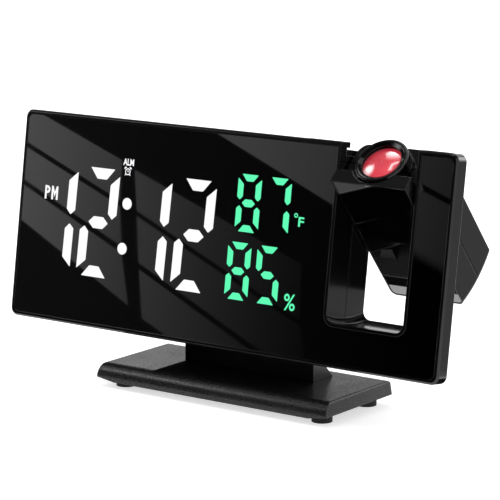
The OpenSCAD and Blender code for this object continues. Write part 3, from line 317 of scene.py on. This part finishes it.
def coatedLens():
    # red-coated moulded lens: deep red at a slant, paler where it faces the eye, and palest in a crescent of
    # painted highlight that stands in for a soft reflection and glows with the lens's light
    material, tree, place = newMaterial("redCoatedLens")
    facing = addNode(tree, "ShaderNodeLayerWeight", {"Blend": 0.4})
    swirl = addNode(tree, "ShaderNodeTexNoise", {"Scale": 1 / (lens["swirl"] * mm), "Detail": 1.0},
                    {"Vector": place})
    depth = addNode(tree, "ShaderNodeMath", {"operation": "MULTIPLY_ADD", 1: lens["swirlShare"]}, {
        0: swirl.outputs["Fac"], 2: facing.outputs["Facing"]})
    tint = addNode(tree, "ShaderNodeMix", {
        "data_type": "RGBA", "A": hexColour(lens["facing"]), "B": hexColour(lens["depth"])},
        {"Factor": depth.outputs[0]})
    tilt = math.radians(lens["lean"])
    along = np.array((0, math.cos(tilt), math.sin(tilt)))
    upward = np.array((0, -math.sin(tilt), math.cos(tilt)))
    spot = (pivot + (lens["side"], 0, 0) + lens["along"] * along + lens["height"] * upward) * mm
    gone = addNode(tree, "ShaderNodeVectorMath", {"operation": "DISTANCE", 1: tuple(spot)}, {0: place})
    # painted highlight: near the spot the colour turns pale like a reflection, both in the base colour and in the
    # glow
    paintedHighlight = addNode(tree, "ShaderNodeMapRange", {
        "interpolation_type": "SMOOTHSTEP", "From Min": lens["reach"] * mm, "From Max": lens["core"] * mm,
        "To Max": lens["share"]}, {"Value": gone.outputs["Value"]})
    body = addNode(tree, "ShaderNodeMix", {"data_type": "RGBA", "B": hexColour(lens["paintedHighlight"])},
                   {"Factor": paintedHighlight.outputs["Result"], "A": tint.outputs["Result"]})
    return surfaced(material, addNode(tree, "ShaderNodeBsdfPrincipled", {
        "Roughness": 0.16, "IOR": 1.6, "Coat Weight": 1.0, "Coat Roughness": 0.09,
        "Emission Strength": lens["glow"]},
        {"Base Color": body.outputs["Result"], "Emission Color": body.outputs["Result"]}))


optics = {"colour": "#C4D0D8", "shrink": 6.0, "rise": 0.02}     # size and height of shrink marks, mm


def clearPlastic():
    # clear moulded optics, faintly blue and a little uneven
    material, tree, place = newMaterial("clearOptics")
    ripple = addNode(tree, "ShaderNodeTexNoise", {"Scale": 1 / (optics["shrink"] * mm)}, {"Vector": place})
    bump = addNode(tree, "ShaderNodeBump", {"Strength": 0.1, "Distance": optics["rise"] * mm},
                   {"Height": ripple.outputs["Fac"]})
    return surfaced(material, addNode(tree, "ShaderNodeBsdfPrincipled", {
        "Base Color": hexColour(optics["colour"]), "Roughness": 0.05, "IOR": 1.49,
        "Transmission Weight": 0.9}, {"Normal": bump.outputs["Normal"]}))


# the finish of each slot; plastics by roughness, then size and height of the grain in mm,
# metals by roughness and size of the rubbing marks in mm
finishes = {
    "case_gloss": plastic("polishedAbs", "#060607", 0.13, 0.9, 0.0015,
                          spread=0.03, edgeRound=0.35, seamFlush=True),
    "mirror_black": acrylicMirror(),
    "reflector_plastic": plastic("mattBlackPolycarbonate", "#1A1B1D", 0.6, 0.3, 0.02),
    "time_diffuser": plastic("frostedWhiteAcrylic", "#F2F4F8", 0.45, 0.2, 0.01, ior=1.49),
    "climate_diffuser": plastic("frostedMintAcrylic", "#62FFB8", 0.45, 0.2, 0.01, ior=1.49),
    "led_body": plastic("mouldedLedResin", "#E9E6D8", 0.35, 0.2, 0.01),
    "circuit_board": solderMask(),
    "chip_black": plastic("mouldedEpoxy", "#141416", 0.5, 0.15, 0.02),
    "screw_steel": metal("zincPlatedSteel", "#9A9C9E", 0.34, 0.3),
    "socket_steel": metal("stampedSteel", "#B4B6B8", 0.28, 0.25),
    "key_satin": plastic("satinAbsKeys", "#1B1B1D", 0.4, 0.25, 0.01),
    "case_satin": housingPlastic(),
    # the eroded grain is near 0.3 mm on such stands, drawn coarser so that its glints show
    "stand_satin": plastic("sparkErodedAbs", "#131315", 0.36, 0.52, 0.032, edgeRound=0.3, glint=0.17),
    "foot_rubber": plastic("softRubber", "#0D0D0D", 0.75, 0.4, 0.03),
    "washer_nylon": plastic("naturalNylon", "#D2CDBE", 0.4, 0.3, 0.01, ior=1.53),
    "lens_red": coatedLens(),
    "screen_glass": clearPlastic(),
}
for part in frame["record"]["subparts"]:
    node = frame["nodes"][part["node"]]
    node.data.materials.clear()
    node.data.materials.append(finishes[part["material_slot"]])
# the neck gets the stand's plastic made darker: the darker base colour is painted shade from the panel that
# overhangs it
neckShadedFinish = plastic("fineGrainAbs", "#060607", 0.36, 0.5, 0.02, edgeRound=0.3)
frame["nodes"]["stand_neck"].data.materials[0] = neckShadedFinish
print("materials set:", len(finishes) + 1)

film = {
    "cells": 0.5,           # size of its printed cells, mm
    "body": "#101010",
    "glow": 1.06,
}


def litFilm(name, code, shade):
    # printed film lit from behind: its cells dim the light a little toward their borders
    material, tree, place = newMaterial(name)
    cells = addNode(tree, "ShaderNodeTexVoronoi", {"Scale": 1 / (film["cells"] * mm)}, {"Vector": place})
    light = addNode(tree, "ShaderNodeMix", {"data_type": "RGBA", "A": hexColour(code), "B": hexColour(shade)},
                    {"Factor": cells.outputs["Distance"]})
    return surfaced(material, addNode(tree, "ShaderNodeBsdfPrincipled", {
        "Base Color": hexColour(film["body"]), "Roughness": 0.4, "Emission Strength": film["glow"]},
        {"Emission Color": light.outputs["Result"]}))


# the lights of the display, each with its diffuser's slot
lights = {
    "white": (litFilm("whiteSegmentLight", "#FFFFFF", "#F2F3F6"), "time_diffuser"),
    "mint": (litFilm("mintSegmentLight", "#62FFB8", "#57F3AC"), "climate_diffuser"),
}
sheetBack = panel["mirrorRecess"]
sheetFront = sheetBack - panel["sheet"]


def litPiece(name, mesh, light):
    # a lit shape of the case, with the material of the light that comes through its diffuser, attached to the case
    material, slot = lights[light]
    mesh.materials.append(material)
    piece = addObject(name, mesh)
    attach(piece, "case")


def platePiece(name, outlines, light):
    # closed plates: each outline in (u, v) goes from the sheet's front to its back, turned anticlockwise
    points, faces = [], []
    for outline in outlines:
        ring = np.asarray(outline, float)
        following = np.roll(ring, -1, 0)
        area = 0.5 * np.sum(ring[:, 0] * following[:, 1] - following[:, 0] * ring[:, 1])
        if area < 0:
            ring = ring[::-1]
        n, start = len(ring), len(points)
        for depth in (sheetFront, sheetBack):
            points += [(u, depth, v) for u, v in ring]
        faces.append([start + i for i in range(n)])
        faces.append([start + n + i for i in reversed(range(n))])
        faces += [[start + i, start + n + i, start + n + (i + 1) % n, start + (i + 1) % n] for i in range(n)]
    litPiece(name, newMesh(name, panelToRow(points), faces), light)


# lit digits: places of their lower left corners, and the segments that are on
digits = {
    "time": {"width": 16.6, "height": 40.3, "stroke": 4.05},
    "climate": {"width": 10.2, "height": 20.4, "stroke": 2.45},
    "timeSpots": [
        (-84.25, 18.75, "bc"), (-64.5, 18.75, "abged"), (-40.25, 18.75, "bc"), (-20.3, 18.75, "abged")],
    "climateSpots": [
        (5.95, 42.65, "abcdefg"), (18.75, 42.65, "abc"), (3.95, 18.4, "abcdefg"), (16.75, 18.4, "afgcd")],
    "slant": (0.0194, 38.9, 0.19),  # lean of the time digits per mm up, from this height, and a shift
    "dots": [(-43.17, 47.15), (-43.77, 30.6)],
    "dotRadius": 2.15,
}


def segmentOutlines(size):
    # a to g of a seven-segment digit, with corners placed in strokes: side bars are five-cornered,
    # caps are trapezia, the middle is a hexagon
    w, h, s = size["width"], size["height"], size["stroke"]
    sideBar = np.array([
        (w, h - 0.6 * s), (w - s, h - 1.45 * s), (w - s, h / 2 + 0.9 * s),
        (w - 0.5 * s, h / 2 + 0.42 * s), (w, h / 2 + 0.84 * s)])
    cap = np.array([(0.65 * s, h), (w - 0.65 * s, h), (w - 1.5 * s, h - s), (1.5 * s, h - s)])
    middle = np.array([
        (0.92 * s, h / 2), (1.5 * s, h / 2 + 0.54 * s), (w - 1.5 * s, h / 2 + 0.54 * s),
        (w - 0.92 * s, h / 2), (w - 1.5 * s, h / 2 - 0.54 * s), (1.5 * s, h / 2 - 0.54 * s)])
    flipX = lambda p: np.array([w, 0]) + p * (-1, 1)
    flipY = lambda p: np.array([0, h]) + p * (1, -1)
    return {"a": cap, "b": sideBar, "c": flipY(sideBar), "d": flipY(cap),
            "e": flipX(flipY(sideBar)), "f": flipX(sideBar), "g": middle}


def softCorners(outline, radius=0.28, steps=4):
    # each corner becomes a short quadratic curve between points a radius away on its two sides
    ring = np.asarray(outline, float)
    before, after = np.roll(ring, 1, 0), np.roll(ring, -1, 0)
    toward = lambda p: p / np.linalg.norm(p, axis=1, keepdims=True)
    start = ring + toward(before - ring) * radius
    end = ring + toward(after - ring) * radius
    t = np.linspace(0, 1, steps)[None, :, None]
    curve = (1 - t) ** 2 * start[:, None] + 2 * t * (1 - t) * ring[:, None] + t ** 2 * end[:, None]
    return curve.reshape(-1, 2)


def litDigits(size, spots):
    # outlines of the segments that are on, digit by digit
    shapes = segmentOutlines(size)
    return [softCorners(shapes[letter] + np.array([left, low])) for left, low, lit in spots for letter in lit]


def slanted(shape):
    # u + (v - height) x slope + shift
    slope, height, shift = digits["slant"]
    return shape + np.stack([(shape[:, 1] - height) * slope + shift, 0 * shape[:, 1]], 1)


def roundOutline(centre, radius, steps=40):
    # points of a circle
    t = np.linspace(0, 2 * math.pi, steps, endpoint=False)
    return np.stack([centre[0] + radius * np.cos(t), centre[1] + radius * np.sin(t)], 1)


timeLit = [slanted(shape) for shape in litDigits(digits["time"], digits["timeSpots"])]
timeLit += [roundOutline(spot, digits["dotRadius"]) for spot in digits["dots"]]
platePiece("timeDigitsLit", timeLit, "white")
climateLit = litDigits(digits["climate"], digits["climateSpots"])
platePiece("climateDigitsLit", climateLit, "mint")
print("digits made:", len(timeLit) + len(climateLit))

# words between two corners, with their strokes thickened by the bold measure
words = {
    "alarm": {"says": "ALM", "from": (-46.45, 61.1), "to": (-41.5, 63.6), "bold": 0.03, "light": "white"},
    "fahrenheit": {"says": "F", "from": (33.0, 47.0), "to": (35.4, 50.4), "bold": 0.02, "light": "mint"},
    "percent": {"says": "%", "from": (29.85, 17.45), "to": (34.66, 23.3), "bold": 0.01, "light": "mint"},
}


def wordPiece(name, word):
    # plain sans letters, stretched to their box on the mirror's face
    curve = bpy.data.curves.new(name, "FONT")
    curve.body = word["says"]
    curve.offset = word["bold"]
    curve.resolution_u = 6
    source = addObject(name + "Curve", curve)
    bpy.context.view_layer.update()
    mesh = bpy.data.meshes.new_from_object(source.evaluated_get(bpy.context.evaluated_depsgraph_get()))
    bpy.data.objects.remove(source)
    co = np.empty(len(mesh.vertices) * 3)
    mesh.vertices.foreach_get("co", co)
    flat = co.reshape(-1, 3)[:, :2]
    share = (flat - flat.min(0)) / (flat.max(0) - flat.min(0))
    start, end = np.array(word["from"]), np.array(word["to"])
    spots = start + share * (end - start)
    mesh.vertices.foreach_set("co", panelToRow(np.insert(spots, 1, sheetFront, 1)).ravel())
    mesh.update()
    litPiece(name, mesh, word["light"])


for name, word in words.items():
    wordPiece(name + "Mark", word)


def ringStrips(centre, outer, inner, start=0.0, stop=360.0, steps=24):
    # a ring between two angles in degrees, as four-cornered strips
    t = np.radians(np.linspace(start, stop, steps + 1))
    around = np.stack([np.cos(t), np.sin(t)], 1)
    near, far = np.array(centre) + inner * around, np.array(centre) + outer * around
    return [np.array([near[i], far[i], far[i + 1], near[i + 1]]) for i in range(steps)]


degree = {"centre": (31.85, 50.8), "outer": 0.8, "inner": 0.42}
platePiece("degreeMark", ringStrips(**degree), "mint")

# P and M between their left edge and two heights; the P's ring is a share of the height, and the M's
# slanting strokes start beside its stems and meet above its foot, in strokes and in mm
afternoon = {
    "left": -82.6, "low": 45.2, "high": 50.25, "stroke": 0.85, "pWide": 2.5, "pRing": 0.29,
    "mStart": 3.2, "mWide": 3.1, "slantStart": 0.9, "slantThick": 2.0, "slantFoot": 1.1,
}


def afternoonMark():
    # P is a stem and a half ring on two bars, M two stems and two slanting strokes
    x, low, high, s = (afternoon[key] for key in ("left", "low", "high", "stroke"))
    bar = lambda x0, y0, x1, y1: np.array(rectangle((x0, y0), (x1, y1)))
    r = (high - low) * afternoon["pRing"]
    turn = x + afternoon["pWide"] - r
    shapes = [
        bar(x, low, x + s, high), bar(x + s, high - s, turn, high),
        bar(x + s, high - 2 * r, turn, high - 2 * r + s)]
    shapes += ringStrips((turn, high - r), r, r - s, -90, 90, 12)
    a, b = x + afternoon["mStart"], x + afternoon["mStart"] + afternoon["mWide"]
    shapes += [bar(a, low, a + s, high), bar(b - s, low, b, high)]
    middle, foot, thick = (a + b) / 2, low + afternoon["slantFoot"], afternoon["slantThick"] * s
    for edge, way in ((a, 1), (b, -1)):
        top = edge + way * s * afternoon["slantStart"]
        shapes.append(np.array([(top, high), (top, high - thick), (middle, foot), (middle, foot + thick)]))
    return shapes


# corners are from the centre; the bells and the feet are those of the right side
alarmClock = {
    "centre": (-44.05, 58.85), "outer": 1.25, "inner": 0.9,
    "hands": [((-0.12, -0.1), (0.12, 0.7)), ((0.0, -0.1), (0.6, 0.14))],
    "bell": (1.05, 1.15), "bellRadius": 0.62, "bellLean": 35,
    "foot": [(0.75, -0.95), (1.0, -0.75), (1.35, -1.3), (1.1, -1.5)],
}


def alarmIcon():
    # a small clock: ring, two hands, two bells above as half discs, and two feet below
    centre, radius, leaned = np.array(alarmClock["centre"]), alarmClock["bellRadius"], alarmClock["bellLean"]
    shapes = ringStrips(centre, alarmClock["outer"], alarmClock["inner"])
    shapes += [centre + rectangle(low, high) for low, high in alarmClock["hands"]]
    for side in (-1, 1):
        t = np.radians(np.linspace(-side * leaned, 180 - side * leaned, 10))
        bell = centre + np.multiply(alarmClock["bell"], (side, 1))
        shapes.append(bell + radius * np.stack([np.cos(t), np.sin(t)], 1))
        shapes.append(centre + np.multiply(alarmClock["foot"], (side, 1)))
    return shapes


platePiece("PMMark", afternoonMark(), "white")
platePiece("alarmIconMark", alarmIcon(), "white")
print("marks made")

# floor, lamps and the studio that polished faces show
studio = {
    "floor": 6.0,               # metres across
    "daylight": 0.85,           # world strength on the object
    "cardCentre": (-0.4047, -0.5942, 0.0951),   # place of the dark card that the mirror shows, metres
    "cardAway": (-0.57821, -0.81435, 0.05008),  # direction from the clock to it
    "darkCard": ((-1300, -95), (600, 1000)),    # its lower left and upper right corners, mm
    "darkLaw": (0.0075, 0.00006, 0.0),          # law of its light, see below
    "paneGap": 0.002,           # the panes stand this far in front of it, metres
    "domeCentre": (0.06, -0.01, 0.09),          # metres
    "domeRadius": 1.3,          # metres
}
cardCentre = np.array(studio["cardCentre"])
cardAway = np.array(studio["cardAway"]) / np.linalg.norm(studio["cardAway"])
cardAcross = np.cross(cardAway, (0, 0, 1))
cardAcross /= np.linalg.norm(cardAcross)
cardUp = np.cross(cardAcross, cardAway)


def lawLight(name, law, fade=None):
    # light of a + b x + c x x, with x in mm across the dark card. It can fade out over a softened edge,
    # given by a point of the edge in mm, its slope and the fade's width.
    material, tree, place = newMaterial(name)
    offset = float(cardAcross @ cardCentre) / mm
    along = addNode(tree, "ShaderNodeVectorMath", {"operation": "DOT_PRODUCT", 1: tuple(cardAcross / mm)},
                    {0: place})
    x = addNode(tree, "ShaderNodeMath", {"operation": "SUBTRACT", 1: offset}, {0: along.outputs["Value"]})
    slope = addNode(tree, "ShaderNodeMath", {"operation": "MULTIPLY_ADD", 1: law[2], 2: law[1]},
                    {0: x.outputs[0]})
    power = addNode(tree, "ShaderNodeMath", {"operation": "MULTIPLY_ADD", 2: law[0]},
                    {0: x.outputs[0], 1: slope.outputs[0]})
    if fade:
        point, rise, width = fade
        normal = np.array((-rise, 1.0)) / math.hypot(rise, 1.0)
        outward = normal[0] * cardAcross + normal[1] * cardUp
        start = outward @ cardCentre + (normal @ np.array(point) - width / 2) * mm
        height = addNode(tree, "ShaderNodeVectorMath", {"operation": "DOT_PRODUCT", 1: tuple(outward)},
                         {0: place})
        soft = addNode(tree, "ShaderNodeMapRange", {
            "interpolation_type": "SMOOTHSTEP", "From Min": start, "From Max": start + width * mm},
            {"Value": height.outputs["Value"]})
        power = addNode(tree, "ShaderNodeMath", {"operation": "MULTIPLY"},
                        {0: power.outputs[0], 1: soft.outputs["Result"]})
    glow = addNode(tree, "ShaderNodeEmission", {"Color": (1, 1, 1, 1)}, {"Strength": power.outputs[0]})
    return surfaced(material, glow)


def evenLight(name, strength):
    return lawLight(name, (strength, 0.0, 0.0))


def spotLight(name, centre, reach, strength):
    # light that fades from the given strength at the centre to nothing at the reach, in metres
    material, tree, place = newMaterial(name)
    gone = addNode(tree, "ShaderNodeVectorMath", {"operation": "DISTANCE", 1: tuple(centre)}, {0: place})
    power = addNode(tree, "ShaderNodeMapRange", {
        "interpolation_type": "SMOOTHSTEP", "From Min": reach, "From Max": 0.0, "To Max": strength},
        {"Value": gone.outputs["Value"]})
    glow = addNode(tree, "ShaderNodeEmission", {"Color": (1, 1, 1, 1)}, {"Strength": power.outputs[0]})
    return surfaced(material, glow)


def cardToRow(points, forward=0.0):
    # card space: x to the left of its middle seen from the panel, y up, forward towards the panel
    p = np.asarray(points, float)
    return cardCentre + p[:, :1] * cardAcross * mm + p[:, 1:] * cardUp * mm - cardAway * forward


def domePoints(corners, closer=0.0):
    # azimuth and elevation in degrees, azimuth from +X towards +Y, to places on a dome over the clock
    turn, rise = np.radians(np.asarray(corners, float)).T
    outward = np.stack([np.cos(rise) * np.cos(turn), np.cos(rise) * np.sin(turn), np.sin(rise)], 1)
    return np.array(studio["domeCentre"]) + (studio["domeRadius"] - closer) * outward


def reflectedCard(name, points, light):
    # a flat card that only polished surfaces see, as a flag or a soft box beside the set
    card = addObject(name, newMesh(name, points, [list(range(len(points)))]))
    card.data.materials.append(light)
    for ray in ("camera", "diffuse", "shadow", "transmission", "volume_scatter"):
        setattr(card, "visible_" + ray, False)


darkCard = cardToRow(rectangle(*studio["darkCard"]))
reflectedCard("darkFlag", darkCard, lawLight("darkFlagLight", studio["darkLaw"]))

# window panes that the mirror shows: the law of their light, corners in mm on the card, and a soft edge
paneLaws = {
    "left": (-0.025, 0.0020, 0.0), "middle": (0.0443, 0.00093, 5.6e-6),
    "right": (0.168, 0.00107, 0.0), "far": (0.16, 0.0009, 0.0),
}
panes = [
    ("left", [(150, 90), (135, 60), (79.1, 39.6), (76.0, 14.0), (139, 40.0), (150, 44.6)], None),
    ("left", [(150, 41.4), (139, 36.8), (75.4, 10.5), (70.2, -14.6), (139, 17.0), (150, 22.2)], None),
    ("left", [(150, 18.8), (139, 13.8), (69.4, -18.9), (59.5, -51.1), (134.4, -9.7), (150, -1)], None),
    ("middle", [(70.2, 35.0), (-36.3, -3.0), (-45, -5.5), (-50, -41.6), (64.4, 9.4)], None),
    ("middle", [(63.8, 6.0), (-51, -45.2), (-56, -60), (-58, -79.2), (57.6, -23.1)], None),
    ("middle", [(56.6, -27.2), (-57.4, -83.2), (-57, -90), (35, -90), (34.2, -65), (49.4, -57.7)], None),
    ("right", [(22, 66.8), (-59, 34.4), (-100, 19.6), (-100, 110), (60, 110), (60, 82)], None),
    ("far", [(-100, 13.6), (-138.3, 0.3), (-160, -8), (-160, 37.6), (-131.3, 47.4), (-100, 57.8)],
     ((-100, 18.6), 0.36, 9.0)),
    ("far", [(-100, 61.8), (-131, 51.4), (-160, 41.4), (-160, 110), (-100, 110)], None),
]
for i, (law, outline, fade) in enumerate(panes):
    light = lawLight(f"windowPaneLight{i}", paneLaws[law], fade)
    reflectedCard(f"windowPane{i}", cardToRow(outline, studio["paneGap"]), light)

# flags round the set that keep its polished faces dark: corners by azimuth and elevation, and brightness
ceiling = {
    "ceilingFlagNear": (
        [(95, 34), (135, 34), (180, 34), (225, 34), (265, 34), (265, 62), (180, 62), (95, 62)], 0.13),
    "ceilingFlagSide": ([(162, 12), (175, 12), (190, 12), (206, 12), (206, 34), (184, 34), (162, 34)], 0.04),
    "ceilingFlagFront": ([(265, 32), (285, 32), (305, 32), (325, 34), (332, 58), (310, 80), (265, 62)], 0.04),
    "ceilingFlagLow": ([(105, 21), (118, 21), (132, 21), (145, 21), (145, 34), (125, 34), (105, 34)], 0.06),
    "ceilingFlagTop": (
        [(95, 62), (135, 62), (180, 62), (225, 62), (265, 62), (310, 80), (0, 84), (50, 80)], 0.06),
}
for name, (corners, strength) in ceiling.items():
    reflectedCard(name, domePoints(corners), evenLight(name + "Light", strength))

# flags that lie on the floor, two of them painted shadow: corners in metres, brightness, and height above the
# floor
floorFlags = {
    "floorFlagRight": (rectangle((0.12, 0.05), (2.5, 3.0)), 0.42, 0.0012),
    # painted shadow: a dark card that polished faces see instead of the shaded floor in front of the stand
    "floorFlagFront": (
        [(-3.0, -3.0), (0.3, -3.0), (0.06, -0.045), (-0.5, -0.045), (-3.0, -0.6)], 0.01, 0.0012),
    "floorPatchFront": (rectangle((-0.014, -0.056), (0.006, -0.040)), 0.45, 0.0016),
    "floorFlagArm": (rectangle((0.072, -0.015), (0.118, 0.035)), 0.03, 0.0012),
    # painted shadow: a dark strip standing in for the stand's shadow on the floor just behind it
    "floorFlagBehind": (rectangle((-0.05, 0.0105), (0.06, 0.0139)), 0.01, 0.0012),
}
for name, (corners, strength, height) in floorFlags.items():
    reflectedCard(name, [(x, y, height) for x, y in corners], evenLight(name + "Light", strength))

# an upright dark card beside the neck, over the plate, seen only in reflections: the plate mirrors it as painted
# shadow of the neck.
# Its back and top in metres, its gap over the plate and its distance from the plate's front in mm
neckFlag = {"back": -0.0075, "top": 0.0195, "gap": 0.05, "inset": 3.0, "strength": 0.003}
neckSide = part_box("stand_neck")[0][0]
plateLow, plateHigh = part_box("stand_plate")
paintedNeckShadowCard = [(neckSide, y, z) for y, z in rectangle(
    (neckFlag["back"], plateHigh[2] + neckFlag["gap"] * mm),
    (plateLow[1] + neckFlag["inset"] * mm, neckFlag["top"]))]
# painted shadow: the plate shows this card as a dark patch in front of the neck
reflectedCard("neckFlag", paintedNeckShadowCard, evenLight("neckFlagLight", neckFlag["strength"]))

# an upright flag behind the window's trough: corners in X and Z, and its place along Y, in metres
troughFlag = {"corners": rectangle((-0.06, 0.058), (0.01, 0.15)), "behind": 0.12, "strength": 0.02}
troughCard = [(x, troughFlag["behind"], z) for x, z in troughFlag["corners"]]
reflectedCard("troughFlag", troughCard, evenLight("troughFlagLight", troughFlag["strength"]))

# soft boxes that polished edges and the lens catch: corners and brightest place by azimuth and elevation,
# reach in metres, brightness, and how far inside the dome the box stands
softBoxes = {
    "lensBox": ([(127, 51), (150, 50), (176, 64), (172, 80), (127, 80)], (133, 60), 0.50, 9.0, 0.1),
    "leftBox": ([(183, 30), (183, 47), (196, 47), (204, 44), (204, 30)], (188, 38), 0.36, 5.0, 0.45),
    "cornerBox": ([(58, -2), (58, 32), (92, 32), (92, -2)], (72, 14), 0.45, 5.5, 0.1),
}
for name, (corners, spot, reach, strength, closer) in softBoxes.items():
    light = spotLight(name + "Light", domePoints([spot], closer)[0], reach, strength)
    reflectedCard(name, domePoints(corners, closer), light)

# a small box near the stand's left end, whose light runs out along the nose: its middle and its two
# directions, its reach in metres, its corners in reaches along those directions, and its brightness
noseBox = {
    "middle": (-0.235, -0.185, 0.197), "across": (-0.62, 0.785, 0.0), "up": (0.48, 0.38, 0.79),
    "reach": 0.13, "corners": rectangle((-1, -0.25), (1, 1)), "strength": 5.0,
}
across, upward = (np.array(noseBox[way]) * noseBox["reach"] for way in ("across", "up"))
noseCard = [noseBox["middle"] + i * across + j * upward for i, j in noseBox["corners"]]
noseLight = spotLight("noseBoxLight", noseBox["middle"], noseBox["reach"], noseBox["strength"])
reflectedCard("noseBox", noseCard, noseLight)

# a bright strip that draws a thin light along the lens's edge
lensStrip = {
    "corners": [(186, 82), (212, 74), (240, 63), (246, 66), (222, 77), (195, 86)],
    "closer": 0.1, "strength": 9.0,
}
stripCard = domePoints(lensStrip["corners"], lensStrip["closer"])
reflectedCard("lensStrip", stripCard, evenLight("lensStripLight", lensStrip["strength"]))


def plainlySeen(tree):
    # 1 for rays from the camera, off gloss and through glass, and 0 for those that light the object
    path = addNode(tree, "ShaderNodeLightPath")
    seen = path.outputs["Is Camera Ray"]
    for ray in ("Is Glossy Ray", "Is Transmission Ray"):
        both = addNode(tree, "ShaderNodeMath", {"operation": "MAXIMUM"}, {0: seen, 1: path.outputs[ray]})
        seen = both.outputs[0]
    return seen


def floorMaterial():
    # white paper: shaded where the object stands, and plain white to camera, gloss and glass
    material, tree, _ = newMaterial("whitePaperFloor")
    shade = addNode(tree, "ShaderNodeBsdfDiffuse", {"Color": (0.9, 0.9, 0.9, 1)})
    white = addNode(tree, "ShaderNodeEmission", {"Color": (1, 1, 1, 1), "Strength": 0.6})
    both = addNode(tree, "ShaderNodeAddShader", {}, {0: shade.outputs[0], 1: white.outputs[0]})
    return surfaced(material, addNode(tree, "ShaderNodeMixShader", {}, {
        0: plainlySeen(tree), 1: shade.outputs[0], 2: both.outputs[0]}))


half = studio["floor"] / 2
floorCorners = [(x, y, 0) for x, y in rectangle((-half, -half), (half, half))]
floor = addObject("studioFloor", newMesh("studioFloor", floorCorners, [[0, 1, 2, 3]]))
floor.data.materials.append(floorMaterial())

world = bpy.data.worlds.new("paleStudio")
world.use_nodes = True
bpy.context.scene.world = world
sky = world.node_tree
sky.nodes.clear()
lit = addNode(sky, "ShaderNodeBackground", {"Color": (1, 1, 1, 1), "Strength": studio["daylight"]})
plain = addNode(sky, "ShaderNodeBackground", {"Color": (1, 1, 1, 1), "Strength": 1.0})
mixed = addNode(sky, "ShaderNodeMixShader", {}, {0: plainlySeen(sky), 1: lit.outputs[0], 2: plain.outputs[0]})
addNode(sky, "ShaderNodeOutputWorld", {}, {"Surface": mixed.outputs[0]})

lamps = [
    # name, place, aimed at, size in metres, watts, and whether polished faces show it
    ("broadTop", (-0.3, -0.1, 1.1), (0, 0, 0.04), 0.9, 3.0, False),
    ("rearKey", (-0.06, 1.15, 0.34), (0.0, 0.0, 0.02), 0.12, 1.0, True),
]
for name, place, aim, size, power, shows in lamps:
    data = bpy.data.lights.new(name, "AREA")
    data.size = size
    data.energy = power
    lamp = addObject(name, data)
    lamp.location = place
    lamp.visible_glossy = shows
    lamp.rotation_euler = (Vector(aim) - Vector(place)).to_track_quat("-Z", "Y").to_euler()
print("studio set")

bpy.context.scene.view_settings.view_transform = "Standard"
